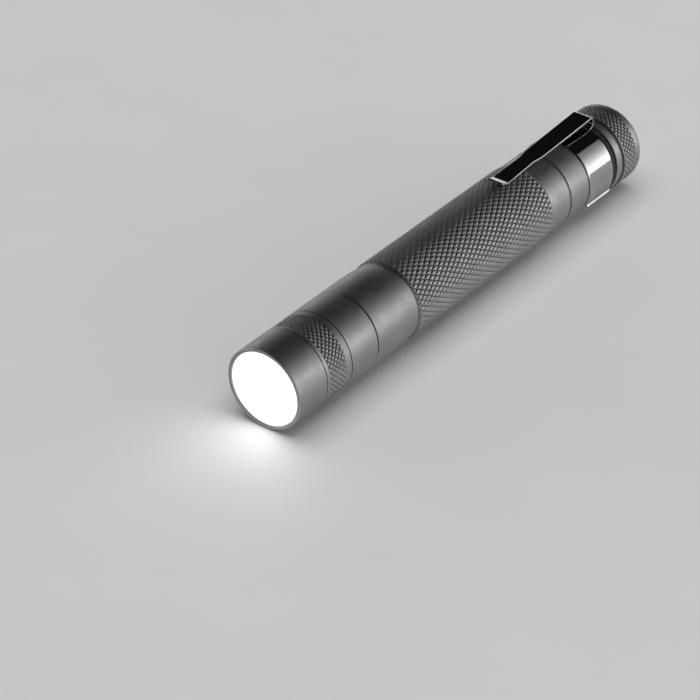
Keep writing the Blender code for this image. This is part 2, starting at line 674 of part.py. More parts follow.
def make_cell(material, barrel):
    """A cylindrical cell with a raised nub at its front and rolled edges."""
    nub = CELL_NUB_DIAMETER / 2
    outline = [
        (0.0, 0.0),
        (0.0, nub),
        (CELL_NUB_HEIGHT, nub),
        (CELL_NUB_HEIGHT, CELL_RADIUS - EDGE_CHAMFER),
        (CELL_NUB_HEIGHT + EDGE_CHAMFER, CELL_RADIUS),
        (CELL_LENGTH - EDGE_CHAMFER, CELL_RADIUS),
        (CELL_LENGTH, CELL_RADIUS - EDGE_CHAMFER),
        (CELL_LENGTH, 0.0),
    ]
    return turned("battery_cell", outline, material, barrel, CELL_FRONT)


def make_tail_cap(material, cap):
    """The threaded spigot, smooth ring, grip band and rounded end ring round the switch's bore."""
    length = CAP_LENGTH
    spigot = CAP_SPIGOT_FRONT - CAP_FRONT
    floor = CAP_FLOOR - CAP_FRONT
    ring_radius = BODY_RADIUS - CAP_RING_STEP
    button_hole = BUTTON_RADIUS + BUTTON_HOLE_CLEARANCE
    rounding_centre = (length - CAP_END_ROUNDING, BODY_RADIUS - CAP_END_ROUNDING)
    knurl_rear = length - CAP_END_RING_LENGTH
    knurl = knurl_rows(CAP_RING_LENGTH + CAP_RING_STEP, knurl_rear, SQUARE_DIAMOND_LENGTH)
    outline = [
        (spigot, SWITCH_BORE),
        (spigot, CAP_SPIGOT_RADIUS),
        (TUBE_REAR - CAP_FRONT, CAP_SPIGOT_RADIUS),
        (TUBE_REAR - CAP_FRONT, TAIL_SEAL_FLOOR),
        (0.0, TAIL_SEAL_FLOOR),
        (0.0, ring_radius - EDGE_CHAMFER),
        (EDGE_CHAMFER, ring_radius),
        (CAP_RING_LENGTH, ring_radius),
        *knurl,
        (knurl_rear + KNURL_DEPTH, BODY_RADIUS),
        *arc(rounding_centre, CAP_END_ROUNDING, 90, 0, FILLET_STEPS),
        (length, button_hole + LIP_CHAMFER),
        (length - LIP_CHAMFER, button_hole),
        (floor, button_hole),
        (floor, SWITCH_BORE),
    ]
    return turned("tail_cap", outline, material, cap, CAP_FRONT, SHELL_FACETS, knurl=knurl)


def make_switch_body(material, cap):
    """The click switch's case, with a blind hole for its plunger in the rear face."""
    hole = PLUNGER_DIAMETER / 2 + PLUNGER_HOLE_CLEARANCE
    hole_floor = SWITCH_BODY_LENGTH - PLUNGER_HOLE_DEPTH
    outline = [
        (0.0, 0.0),
        (0.0, SWITCH_BORE - CAP_THREAD_CLEARANCE),
        (SWITCH_BODY_LENGTH, SWITCH_BORE - CAP_THREAD_CLEARANCE),
        (SWITCH_BODY_LENGTH, hole),
        (hole_floor, hole),
        (hole_floor, 0.0),
    ]
    return turned("switch_body", outline, material, cap, SWITCH_BODY_FRONT)


def make_button(material, button):
    """The rubber boot: a flange inside the cap and a crowned button in its end opening."""
    wall_end = TOTAL_LENGTH - BUTTON_RECESS - BUTTON_FRONT
    crown = dome(BUTTON_RADIUS, BUTTON_CROWN, FILLET_STEPS)
    outline = [
        (0.0, 0.0),
        (0.0, SWITCH_BORE - CAP_THREAD_CLEARANCE),
        (BUTTON_FLANGE_THICKNESS, SWITCH_BORE - CAP_THREAD_CLEARANCE),
        (BUTTON_FLANGE_THICKNESS, BUTTON_RADIUS),
        *[(wall_end - along, radius) for along, radius in reversed(crown)],
    ]
    return turned("button_boot", outline, material, button, BUTTON_FRONT)


def make_plunger(material, button):
    """The switch's pin, from half way down its hole to the back of the boot."""
    hole_mouth = SWITCH_BODY_FRONT + SWITCH_BODY_LENGTH
    start = hole_mouth - PLUNGER_HOLE_DEPTH + BUTTON_TRAVEL + SEAT_GAP
    length = BUTTON_FRONT - SEAT_GAP - start
    return turned("switch_plunger", disc(PLUNGER_DIAMETER / 2, length), material, button, start)


def smooth_step(share):
    """0 to 1 with level ends, for a share held between 0 and 1."""
    held = min(1.0, max(0.0, share))
    return held * held * (3 - 2 * held)


def clip_angles(tongue_half):
    """Angles round the band from one end to the other, with the tongue's edges among them."""
    side = CLIP_WRAP - tongue_half
    left = [-CLIP_WRAP + side * step / CLIP_SIDE_STEPS for step in range(CLIP_SIDE_STEPS)]
    shares = [2 * step / CLIP_TONGUE_STEPS - 1 for step in range(CLIP_TONGUE_STEPS + 1)]
    middle = [tongue_half * share for share in shares]
    right = [-angle for angle in reversed(left)]
    return left, middle, right


def clip_arm_width(run):
    """Width of the arm at a distance from the fold: it tapers, steps in at its neck and widens to the tip."""
    past_neck = (run - CLIP_NECK_PLACE) / (CLIP_ARM_LENGTH - CLIP_NECK_PLACE)
    rear = CLIP_ARM_WIDTH - CLIP_ARM_TAPER * run / CLIP_NECK_PLACE
    front = CLIP_NECK_WIDTH + (CLIP_TIP_WIDTH - CLIP_NECK_WIDTH) * past_neck
    return rear + (front - rear) * smooth_step((run - CLIP_NECK_PLACE) / CLIP_NECK_BLEND + 0.5)


def clip_arm_rows(band_radius):
    """Rows (along, height, half width, droop) of the arm, from the band's rear edge over the fold to the tip.

    The droop is how far the sheet's sides hang below its middle, which fades out round the fold.
    """
    fold_radius = CLIP_FOLD_RISE / 2
    fold_centre = (CLIP_BAND_LENGTH, band_radius + fold_radius)
    half_width = CLIP_ARM_WIDTH / 2
    droop = band_radius - math.sqrt(band_radius**2 - half_width**2)
    rows = []
    for along, height in arc(fold_centre, fold_radius, -90, 90, 2 * FILLET_STEPS)[1:]:
        share = (height - band_radius) / CLIP_FOLD_RISE
        rows.append((along, height, half_width, droop * (1 - smooth_step(share))))
    top = band_radius + CLIP_FOLD_RISE
    touch = BODY_RADIUS + CLIP_TIP_GAP + CLIP_SHEET / 2
    for step in range(1, CLIP_ARM_STEPS + 1):
        share = step / CLIP_ARM_STEPS
        run = CLIP_ARM_LENGTH * share
        height = top + (touch - top) * share
        rows.append((fold_centre[0] - run, height, clip_arm_width(run) / 2, 0.0))
    end = fold_centre[0] - CLIP_ARM_LENGTH
    flare_angle = math.degrees(CLIP_FLARE_LENGTH / CLIP_FLARE_RADIUS)
    flare = arc((end, touch + CLIP_FLARE_RADIUS), CLIP_FLARE_RADIUS, -90, -90 - flare_angle, FILLET_STEPS)
    rows += [(along, height, CLIP_TIP_WIDTH / 2, 0.0) for along, height in flare[1:]]
    return rows


def make_clip(material, swivel):
    """One bent sheet: a C band with turned-out ends, and a tongue folded back over it to make the arm.

    The sheet's middle surface is drawn first, and a Solidify gives it its thickness.
    """
    band_radius = CLIP_SEAT_RADIUS + CLIP_CLEARANCE + CLIP_SHEET / 2
    left, middle, right = clip_angles(math.asin(CLIP_ARM_WIDTH / 2 / band_radius))
    around = [(angle, band_radius) for angle in left + middle + right]
    for step in range(1, CLIP_LIP_STEPS + 1):
        share = step / CLIP_LIP_STEPS
        turn = CLIP_WRAP + share * CLIP_LIP_REACH / band_radius
        lip_radius = band_radius + CLIP_LIP_REACH * share**2
        around = [(-turn, lip_radius)] + around + [(turn, lip_radius)]
    sheet = bmesh.new()
    edge_rows = []
    for along in (0.0, CLIP_BAND_LENGTH):
        edge_rows.append([
            sheet.verts.new((along, radius * math.sin(angle), radius * math.cos(angle)))
            for angle, radius in around
        ])
    first = CLIP_LIP_STEPS + len(left)
    rows = [edge_rows[1][first:first + len(middle)]]
    for along, height, half_width, droop in clip_arm_rows(band_radius):
        across = [2 * column / (len(middle) - 1) - 1 for column in range(len(middle))]
        rows.append([sheet.verts.new((along, half_width * u, height - droop * u * u)) for u in across])
    for grid in (edge_rows, rows):
        for near, far in zip(grid, grid[1:]):
            for column in range(len(near) - 1):
                sheet.faces.new((near[column], near[column + 1], far[column + 1], far[column]))
    bmesh.ops.recalc_face_normals(sheet, faces=sheet.faces)
    mesh = bpy.data.meshes.new("pocket_clip")
    sheet.to_mesh(mesh)
    sheet.free()
    shade(mesh)
    clip = add_piece("pocket_clip", mesh, material, swivel, CLIP_SHOULDER + CLIP_CLEARANCE)
    thickness = clip.modifiers.new("sheet", "SOLIDIFY")
    thickness.thickness = CLIP_SHEET
    thickness.offset = 0.0
    thickness.use_even_offset = True
    return clip


def build():
    clear_scene()
    anodised = finish("grey_anodised_aluminium", (0.13, 0.13, 0.135), 0.38, 1.0)
    plated = finish("polished_plated_steel", (0.72, 0.72, 0.73), 0.08, 1.0)
    clear = finish("lit_lens", (0.95, 0.96, 1.0), 0.05, 0.0)
    rubber = finish("black_rubber", (0.02, 0.02, 0.02), 0.75, 0.0)
    brass = finish("turned_brass", (0.75, 0.55, 0.25), 0.3, 1.0)
    spring_steel = finish("spring_steel", (0.6, 0.58, 0.55), 0.25, 1.0)
    white_plastic = finish("white_plastic", (0.85, 0.85, 0.83), 0.5, 0.0)
    black_plastic = finish("black_plastic", (0.03, 0.03, 0.03), 0.5, 0.0)
    board = finish("circuit_board", (0.03, 0.16, 0.07), 0.45, 0.0)
    emitter_yellow = finish("emitter_phosphor", (0.9, 0.75, 0.15), 0.4, 0.0)
    ferrite = finish("ferrite", (0.06, 0.06, 0.07), 0.6, 0.0)
    red_jacket = finish("red_wire_jacket", (0.6, 0.03, 0.03), 0.5, 0.0)
    black_jacket = finish("black_wire_jacket", (0.03, 0.03, 0.03), 0.5, 0.0)
    cell_wrap = finish("plain_cell_wrap", (0.35, 0.36, 0.38), 0.35, 0.6)

    barrel = axis_empty("barrel_axis", TUBE_FRONT)
    head = axis_empty("zoom_slide_axis", SLEEVE_REAR, barrel)
    swivel = axis_empty("clip_swivel_axis", CLIP_SHOULDER, barrel)
    thread = axis_empty("tail_cap_travel_axis", TUBE_REAR, barrel)
    cap = axis_empty("tail_cap_turn_axis", CAP_FRONT, thread)
    button = axis_empty("button_press_axis", TOTAL_LENGTH, cap)

    make_bezel(anodised, head)
    make_lens(clear, head)
    seal("lens_o_ring", LENS_BORE - SEAL_SQUEEZE_GAP, LENS_SEAL_FRONT, rubber, head)
    make_sleeve(anodised, head)

    make_neck(anodised, barrel)
    make_stop_ring(spring_steel, barrel)
    zoom_seal_front = ZOOM_SEAL_STATION - SEAL_SECTION / 2
    seal("zoom_o_ring", BUSH_BORE - SEAL_SQUEEZE_GAP, zoom_seal_front, rubber, barrel)
    make_emitter(emitter_yellow, barrel)
    make_led_retainer(white_plastic, barrel)
    board_outline = disc(LED_BORE - THREAD_CLEARANCE, BOARD_THICKNESS)
    turned("led_board", board_outline, white_plastic, barrel, LED_BOARD_FRONT)
    make_led_wire("led_wire_positive", 1, red_jacket, barrel)
    make_led_wire("led_wire_negative", -1, black_jacket, barrel)
    driver_outline = disc(DRIVER_BORE - THREAD_CLEARANCE, BOARD_THICKNESS)
    turned("driver_board", driver_outline, board, barrel, DRIVER_FRONT)
    make_inductor(ferrite, barrel)
    driver_ring = ring(RETAINER_OPENING, DRIVER_BORE - THREAD_CLEARANCE, RETAINER_THICKNESS)
    turned("driver_retainer", driver_ring, brass, barrel, DRIVER_REAR + SEAT_GAP)
    make_contact_spring(spring_steel, barrel)
    neck_seal_front = NECK_SEAL_STATION - SEAL_SECTION / 2
    seal("neck_o_ring", NECK_SOCKET_BORE - SEAL_SQUEEZE_GAP, neck_seal_front, rubber, barrel)
    make_body_tube(anodised, barrel)
    make_cell(cell_wrap, barrel)

    make_clip(plated, swivel)

    seal("tail_o_ring", TAIL_SEAL_OUTER, TAIL_SEAL_FRONT, rubber, thread)
    make_tail_cap(anodised, cap)
    switch_ring = ring(RETAINER_OPENING, SWITCH_BORE - CAP_THREAD_CLEARANCE, RETAINER_THICKNESS)
    turned("switch_retainer", switch_ring, brass, cap, SWITCH_BOARD_FRONT - SEAT_GAP - RETAINER_THICKNESS)
    switch_board = disc(SWITCH_BORE - CAP_THREAD_CLEARANCE, SWITCH_BOARD_THICKNESS)
    turned("switch_contact_board", switch_board, board, cap, SWITCH_BOARD_FRONT)
    make_tail_spring(spring_steel, cap)
    make_switch_body(black_plastic, cap)
    spacer_outer = SWITCH_BORE - CAP_THREAD_CLEARANCE
    spacer_length = SWITCH_SPACER_REAR - SWITCH_SPACER_FRONT
    spacer = ring(spacer_outer - SWITCH_SPACER_WALL, spacer_outer, spacer_length)
    turned("switch_spacer", spacer, white_plastic, cap, SWITCH_SPACER_FRONT)

    make_button(rubber, button)
    make_plunger(white_plastic, button)


build()
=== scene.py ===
# %% [markdown]
# # Finishing a zoom flashlight
#
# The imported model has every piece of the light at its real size, with its joints, but in flat facets. This
# lesson gives each piece a fine surface: turned shells, a true diamond knurl, a folded sheet-metal clip,
# rubber seals and a lit lens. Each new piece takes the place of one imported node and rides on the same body,
# so the light still slides, turns and clicks.

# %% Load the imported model
import collections
import math

import bpy
import numpy as np
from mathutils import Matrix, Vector


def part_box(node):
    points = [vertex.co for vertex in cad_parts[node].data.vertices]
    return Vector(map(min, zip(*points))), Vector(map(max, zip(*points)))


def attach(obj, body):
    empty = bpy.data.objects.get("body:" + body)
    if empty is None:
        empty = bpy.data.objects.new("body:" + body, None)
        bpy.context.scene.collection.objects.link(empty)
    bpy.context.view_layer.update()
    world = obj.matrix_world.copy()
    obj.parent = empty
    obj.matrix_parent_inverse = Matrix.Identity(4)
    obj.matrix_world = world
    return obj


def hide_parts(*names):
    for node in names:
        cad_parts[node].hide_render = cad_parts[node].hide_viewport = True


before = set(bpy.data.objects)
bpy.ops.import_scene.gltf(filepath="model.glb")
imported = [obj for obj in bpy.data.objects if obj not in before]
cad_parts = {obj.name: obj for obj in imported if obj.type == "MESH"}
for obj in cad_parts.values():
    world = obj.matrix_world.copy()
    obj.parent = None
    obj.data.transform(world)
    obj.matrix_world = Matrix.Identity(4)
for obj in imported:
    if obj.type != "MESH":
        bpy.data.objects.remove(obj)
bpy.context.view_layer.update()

# %% [markdown]
# ## Where things are
#
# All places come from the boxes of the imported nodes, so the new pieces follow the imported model. The light
# lies along X with its lens towards -X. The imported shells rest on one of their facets, so half of a shell's
# height is the radius at which a smooth shell just touches the floor.

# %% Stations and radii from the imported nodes
MM = 0.001


def span(node):
    """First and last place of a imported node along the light's axis."""
    low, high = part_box(node)
    return low.x, high.x


bezel_low, bezel_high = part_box("front_bezel")
AXIS_HEIGHT = (bezel_low.z + bezel_high.z) / 2
BODY_RADIUS = (bezel_high.z - bezel_low.z) / 2
PARTING_GAP = 0.3 * MM
SEAT_GAP = 0.1 * MM
LINE_GAP = 0.14 * MM
BEZEL_FRONT, BEZEL_REAR = span("front_bezel")
SPIGOT_FRONT, SLEEVE_REAR = span("head_sleeve")
SLIDE_FRONT, NECK_REAR = span("neck_housing")
TUBE_FRONT, TUBE_REAR = span("body_tube")
CAP_SPIGOT_FRONT, CAP_REAR = span("tail_cap")
SLEEVE_FRONT = BEZEL_REAR + PARTING_GAP
COLLAR_FRONT = SLEEVE_REAR + PARTING_GAP
COLLAR_REAR = TUBE_FRONT - LINE_GAP
CAP_FRONT = span("tail_o_ring")[1] + SEAT_GAP / 2
print(f"axis {AXIS_HEIGHT / MM:.3f} mm up, body radius {BODY_RADIUS / MM:.3f} mm")

# %% [markdown]
# ## Turned outlines
#
# Nearly every piece of this light comes off a lathe. One could spin a mesh with the Screw modifier, but then
# each edge would need its own bevel. Here the outline is rounded before it is spun: each corner says how far
# its rounding reaches, and becomes a short curve. The same step marks the outer corners, because that is
# where a coating wears bright.

# %% Round the corners of an outline
ROUND_STEPS = 6
ROUND_LIMIT = 0.45
HOLD = 0.04 * MM
HOLD_LIMIT = 0.04
SAME_POINT = 0.0005 * MM


def rounded_outline(corners):
    """Places, radii and edge wear along an outline of corners (along, radius, rounding).

    A corner C becomes the curve (1-s)^2 A + 2s(1-s) C + s^2 B, where A and B lie one rounding away from C on
    its two sides. A point just outside each end of the curve keeps the flat beside it flat when it is shaded.
    Edge wear is sin(pi s) on corners that point out of the metal, where the outline turns clockwise.
    """
    table = np.array(corners, float)
    points = table[:, :2]
    back = np.roll(points, 1, axis=0) - points
    ahead = np.roll(points, -1, axis=0) - points
    back_length = np.linalg.norm(back, axis=1, keepdims=True)
    ahead_length = np.linalg.norm(ahead, axis=1, keepdims=True)
    room = np.minimum(back_length, ahead_length)
    reach = np.minimum(table[:, 2:], ROUND_LIMIT * room)
    hold = np.where(reach > 0, np.minimum(HOLD, HOLD_LIMIT * room), 0.0)
    back = back / back_length
    ahead = ahead / ahead_length
    s = np.linspace(0.0, 1.0, ROUND_STEPS + 1)[None, :, None]
    start = (points + back * reach)[:, None]
    end = (points + ahead * reach)[:, None]
    curve = (1 - s) ** 2 * start + 2 * s * (1 - s) * points[:, None] + s**2 * end
    before = (points + back * (reach + hold))[:, None]
    after = (points + ahead * (reach + hold))[:, None]
    path = np.concatenate([before, curve, after], axis=1).reshape(-1, 2)
    turn = back[:, 1] * ahead[:, 0] - back[:, 0] * ahead[:, 1]
    worn = np.sin(np.pi * s[:, :, 0]) * ((turn < 0) & (reach[:, 0] > 0))[:, None]
    wear = np.pad(worn, ((0, 0), (1, 1))).ravel()
    moved = np.linalg.norm(np.diff(path, axis=0), axis=1)
    keep = np.concatenate([[True], moved > SAME_POINT])
    return path[keep, 0], path[keep, 1], wear[keep]


def sharp(along, radius):
    """Corners without rounding, for a stretch that is already a fine curve."""
    return list(np.stack([along, radius, np.zeros(len(along))], axis=1))


print("a rounded corner becomes", ROUND_STEPS + 3, "points")

# %% [markdown]
# ## From rows to a mesh
#
# A turned surface is a grid: rows follow the outline and columns go round the axis. Each row may also have a
# different radius in each column, which is how the knurl and the thread come about. Two numbers travel with
# every point, so that the finish can follow the shape: how worn the place is, and how much painted shade
# darkens it, where shade falls at the bottom of a groove.

# %% Rows and faces
COLUMNS_PER_DIAMOND = 8
DIAMONDS_ROUND = 44
SHELL_COLUMNS = COLUMNS_PER_DIAMOND * DIAMONDS_ROUND
WHOLE, RISING, FALLING = 0, 1, 2
# After the wear, rows carry painted shade: how far the colour is darkened where shade falls in a groove.
Rows = collections.namedtuple("Rows", "along radius wear grime split")


def spread(values, columns):
    """One value per row, repeated in every column."""
    return np.repeat(values[:, None], columns, axis=1)


def bare_rows(along, radius):
    """Rows without wear or painted shade, with whole faces between them."""
    return Rows(along, radius, *np.zeros((2, *radius.shape)), np.full(radius.shape, WHOLE))


def plain_rows(corners, columns=SHELL_COLUMNS):
    """Rows of a plainly turned stretch, the same in every column."""
    along, radius, wear = rounded_outline(corners)
    return bare_rows(along, spread(radius, columns))._replace(wear=spread(wear, columns))


def join_rows(*stretches):
    """Stretches laid end to end. The row that two of them share is kept once, from the later one."""
    opened = [Rows(*[values[:-1] for values in stretch]) for stretch in stretches[:-1]]
    return Rows(*[np.concatenate(parts) for parts in zip(*opened, stretches[-1])])


def quads(grid):
    """Four-cornered faces between the neighbours in a grid of point numbers."""
    return np.stack([grid[:-1, :-1], grid[:-1, 1:], grid[1:, 1:], grid[1:, :-1]], axis=-1).reshape(-1, 4)


def fans(ring):
    """Faces from the two points that follow a grid's own points to its first and its last row."""
    beside = np.roll(ring, -1, axis=1)
    first = np.full(ring.shape[1], ring.size)
    front = np.stack([first, beside[0], ring[0]], axis=1)
    return [front, np.stack([first + 1, ring[-1], beside[-1]], axis=1)]


print("a shell has", SHELL_COLUMNS, "columns")

# %% Fill a mesh
SHARP_ANGLE = math.radians(40)


def fill_mesh(name, points, faces, **attributes):
    """A mesh from an array of points and arrays of three- or four-cornered faces."""
    mesh = bpy.data.meshes.new(name)
    corners = np.concatenate([block.ravel() for block in faces]).astype(np.int32)
    sizes = np.concatenate([np.full(len(block), block.shape[1]) for block in faces])
    mesh.vertices.add(len(points))
    mesh.vertices.foreach_set("co", points.astype(np.float32).ravel())
    mesh.loops.add(len(corners))
    mesh.loops.foreach_set("vertex_index", corners)
    mesh.polygons.add(len(sizes))
    mesh.polygons.foreach_set("loop_start", (np.cumsum(sizes) - sizes).astype(np.int32))
    mesh.update(calc_edges=True)
    for label, values in attributes.items():
        layer = mesh.attributes.new(label, "FLOAT", "POINT")
        layer.data.foreach_set("value", values.astype(np.float32).ravel())
    mesh.shade_smooth()
    mesh.set_sharp_from_angle(angle=SHARP_ANGLE)
    return mesh


def turned_mesh(name, rows):
    """The closed surface P(i, j) = (along_i, radius_ij cos phi_j, radius_ij sin phi_j) about the axis.

    An outline that starts and ends on the axis is closed by a fan at each pole. Any other one is a loop.
    A four-cornered face may be split along its rising or falling diagonal, so that creases stay straight.
    """
    columns = rows.radius.shape[1]
    phi = np.arange(columns) * math.tau / columns
    height = AXIS_HEIGHT + rows.radius * np.sin(phi)
    points = np.stack([spread(rows.along, columns), rows.radius * np.cos(phi), height], axis=-1)
    poles = rows.radius[0].max() == 0.0 and rows.radius[-1].max() == 0.0
    used = slice(1, -1) if poles else slice(None)
    flat, wear, grime = points[used].reshape(-1, 3), rows.wear[used].ravel(), rows.grime[used].ravel()
    ring = np.arange(len(flat)).reshape(-1, columns)
    cells = quads(np.pad(ring, ((0, 0 if poles else 1), (0, 1)), mode="wrap"))
    split = rows.split[used].ravel()[:len(cells)]
    whole, rising, falling = (cells[split == kind] for kind in (WHOLE, RISING, FALLING))
    faces = [whole, rising[:, [0, 1, 2]], rising[:, [0, 2, 3]], falling[:, [0, 1, 3]], falling[:, [1, 2, 3]]]
    if poles:
        faces += fans(ring)
        flat = np.concatenate([flat, points[[0, -1], 0]])
        wear = np.concatenate([wear, rows.wear[[0, -1], 0]])
        grime = np.concatenate([grime, rows.grime[[0, -1], 0]])
    # The second attribute is painted shade, which darkens the colour in grooves where shade falls.
    return fill_mesh(name, flat, faces, edge_wear=wear, groove_grime=grime)


print(f"edges over {math.degrees(SHARP_ANGLE):.0f} degrees stay sharp")

# %% Add a piece


def add_object(name, data):
    """An object for a mesh, a light or a camera, put into the scene."""
    made = bpy.data.objects.new(name, data)
    bpy.context.scene.collection.objects.link(made)
    return made


def add_piece(name, mesh, finish, body, node):
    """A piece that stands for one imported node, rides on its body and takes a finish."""
    piece = add_object(name, mesh)
    mesh.materials.append(finish)
    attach(piece, body)
    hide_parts(node)
    print(f"{name}: {len(mesh.vertices)} points, {len(mesh.polygons)} faces")
    return piece


def add_turned(name, rows, finish, body, node):
    """A piece that is turned from rows."""
    add_piece(name, turned_mesh(name, rows), finish, body, node)


# %% [markdown]
# ## Node helpers for the finishes
#
# Every finish is a Principled shader fed by noise on Object coordinates. These stay with the piece when it
# moves, and they are metres here, so a noise scale of 1000 has features about a millimetre across. A few
# small helpers keep the finishes below short enough to read.

# %% Helpers that add shader nodes
EVEN = (1.0, 1.0, 1.0)


def new_finish(name):
    """A material, its node tree and its Principled shader."""
    finish = bpy.data.materials.new(name)
    finish.use_nodes = True
    return finish, finish.node_tree, finish.node_tree.nodes["Principled BSDF"]


def set_inputs(node, inputs):
    """Constants, or links from other nodes' sockets, put into a node's inputs."""
    for socket, value in inputs.items():
        if isinstance(value, bpy.types.NodeSocket):
            node.id_data.links.new(value, node.inputs[socket])
        else:
            node.inputs[socket].default_value = value


def add_node(tree, kind, inputs, **settings):
    """A shader node with its settings and inputs given."""
    node = tree.nodes.new(kind)
    for key, value in settings.items():
        setattr(node, key, value)
    set_inputs(node, inputs)
    return node


def object_place(tree, stretch=EVEN, shift=(0.0, 0.0, 0.0)):
    """Object coordinates, stretched and then moved by a Mapping node."""
    place = add_node(tree, "ShaderNodeTexCoord", {}).outputs["Object"]
    inputs = {"Vector": place, "Location": shift, "Scale": stretch}
    return add_node(tree, "ShaderNodeMapping", inputs).outputs["Vector"]


def noise(tree, scale, detail=3.0, stretch=EVEN):
    """Noise between 0 and 1 on Object coordinates."""
    inputs = {"Vector": object_place(tree, stretch), "Scale": scale, "Detail": detail}
    return add_node(tree, "ShaderNodeTexNoise", inputs).outputs["Fac"]


print("helpers: new_finish, set_inputs, add_node, object_place, noise")

# %% Helpers that map and mix values
MIX_FACTOR, MIX_LOW, MIX_HIGH, MIX_RESULT = 0, 6, 7, 2


def remap(tree, source, low, high, to_low=0.0, to_high=1.0):
    """A straight-line map from one span of numbers to another, held at its ends."""
    inputs = {"Value": source, "From Min": low, "From Max": high, "To Min": to_low, "To Max": to_high}
    return add_node(tree, "ShaderNodeMapRange", inputs).outputs["Result"]


def patches(tree, low, high, to_low=0.0, to_high=1.0, **grain):
    """Noise of some grain, whose span from low to high is mapped to another span."""
    return remap(tree, noise(tree, **grain), low, high, to_low, to_high)


def combine(tree, operation, first, second):
    """Two sockets, or a socket and a constant, put through one Math operation."""
    settings = {"operation": operation, "use_clamp": operation != "ADD"}
    return add_node(tree, "ShaderNodeMath", {0: first, 1: second}, **settings).outputs["Value"]


def blend(tree, share, low, high):
    """A colour between two colours, each of them a constant or a socket."""
    low, high = ((*colour, 1.0) if isinstance(colour, tuple) else colour for colour in (low, high))
    inputs = {MIX_FACTOR: share, MIX_LOW: low, MIX_HIGH: high}
    return add_node(tree, "ShaderNodeMix", inputs, data_type="RGBA").outputs[MIX_RESULT]


def relief(tree, height, strength, distance):
    """The normal of a fine relief, from a height between 0 and 1 and a depth in metres."""
    inputs = {"Height": height, "Strength": strength, "Distance": distance}
    return add_node(tree, "ShaderNodeBump", inputs).outputs["Normal"]


def attribute(tree, label):
    """A number that the mesh carries at each point."""
    return add_node(tree, "ShaderNodeAttribute", {}, attribute_name=label).outputs["Fac"]


print("helpers: remap, patches, combine, blend, relief, attribute")

# %% [markdown]
# ## Grey anodised aluminium
#
# The shells are aluminium, blasted to a fine satin and anodised a dark neutral grey. The colour drifts a
# little, and the blasting leaves a very fine grain. Sharp edges and the tips of the knurl are rubbed lighter
# and smoother. The bottom of the knurl and of the thread is darkened with painted shade, where shade falls
# in the grooves. One could paint these on, but here they come with the mesh, so they always sit exactly on
# the shape.

# %% Satin anodised finish
ANODISED_DARK = (0.300, 0.300, 0.305)
ANODISED_LIGHT = (0.345, 0.345, 0.350)
ANODISED_WORN = (0.60, 0.60, 0.605)
# A dark grey of painted shade, for the bottom of the grooves.
ANODISED_SHADE = (0.06, 0.06, 0.06)
WEAR_SHARE = 0.55
WEAR_POLISH = 0.1
# How far painted shade darkens the colour at the bottom of a groove.
GROOVE_SHADE_SHARE = 0.65


def make_anodised():
    """Drifting grey, blended to a lighter one by wear and to a dark one by painted shade in the grooves."""
    finish, tree, shader = new_finish("satin_anodised_aluminium")
    drift = patches(tree, 0.35, 0.65, scale=140.0, detail=4.0)
    rub = patches(tree, 0.38, 0.62, to_low=0.15, scale=1600.0)
    worn = combine(tree, "MULTIPLY", attribute(tree, "edge_wear"), rub)
    # Painted shade: the colour goes towards a dark grey at the bottom of the knurl and the thread.
    painted_shade = combine(tree, "MULTIPLY", attribute(tree, "groove_grime"), GROOVE_SHADE_SHARE)
    colour = blend(tree, drift, ANODISED_DARK, ANODISED_LIGHT)
    colour = blend(tree, combine(tree, "MULTIPLY", worn, WEAR_SHARE), colour, ANODISED_WORN)
    rough = patches(tree, 0.3, 0.7, to_low=0.46, to_high=0.56, scale=420.0, detail=5.0)
    polish = combine(tree, "MULTIPLY", worn, WEAR_POLISH)
    grain = noise(tree, scale=9000.0, detail=2.0)
    set_inputs(shader, {
        "Metallic": 1.0,
        "Base Color": blend(tree, painted_shade, colour, ANODISED_SHADE),
        "Roughness": combine(tree, "SUBTRACT", rough, polish),
        "Normal": relief(tree, grain, strength=0.25, distance=0.012 * MM),
    })
    return finish


ANODISED = make_anodised()
print("made", ANODISED.name)

# %% [markdown]
# ## Other finishes that show
#
# The clip is sheet steel with a bright plating: nearly a mirror, with hair-fine scratches along its length
# and a faint film of handling. The seals and the button are black rubber. The lens glows, because the light
# is on. A lamp behind clear glass would be slow and noisy to render, so the lens itself gives out light: the
# glow is set by the distance from the axis, whitest in the middle and a little cooler at the edge.

# %% Plated steel
PLATED_CLEAN = (0.40, 0.40, 0.41)
PLATED_FILM = (0.34, 0.34, 0.35)
ALONG_THE_CLIP = (0.02, 1.0, 1.0)


def make_plated():
    """A smooth metal whose film dulls it in patches and whose scratches roughen it in lines."""
    finish, tree, shader = new_finish("bright_plated_steel")
    film = patches(tree, 0.4, 0.7, scale=260.0, detail=5.0)
    scratches = patches(tree, 0.62, 0.72, to_high=0.10, scale=9000.0, stretch=ALONG_THE_CLIP)
    haze = remap(tree, film, 0.0, 1.0, to_low=0.05, to_high=0.11)
    waves = noise(tree, scale=700.0, detail=1.0)
    set_inputs(shader, {
        "Metallic": 1.0,
        "Base Color": blend(tree, film, PLATED_CLEAN, PLATED_FILM),
        "Roughness": combine(tree, "ADD", scratches, haze),
        "Normal": relief(tree, waves, strength=0.05, distance=0.01 * MM),
    })
    return finish


PLATED = make_plated()
print("made", PLATED.name)

# %% Rubber
RUBBER_DARK = (0.012, 0.012, 0.012)
RUBBER_DUSTY = (0.035, 0.034, 0.033)


def make_rubber():
    """Black, with patches of dust that are lighter and rougher."""
    finish, tree, shader = new_finish("black_rubber")
    dust = patches(tree, 0.42, 0.72, scale=500.0, detail=5.0)
    grain = noise(tree, scale=5000.0)
    set_inputs(shader, {
        "Base Color": blend(tree, dust, RUBBER_DARK, RUBBER_DUSTY),
        "Roughness": remap(tree, dust, 0.0, 1.0, to_low=0.5, to_high=0.72),
        "Normal": relief(tree, grain, strength=0.4, distance=0.02 * MM),
    })
    return finish


RUBBER = make_rubber()
print("made", RUBBER.name)

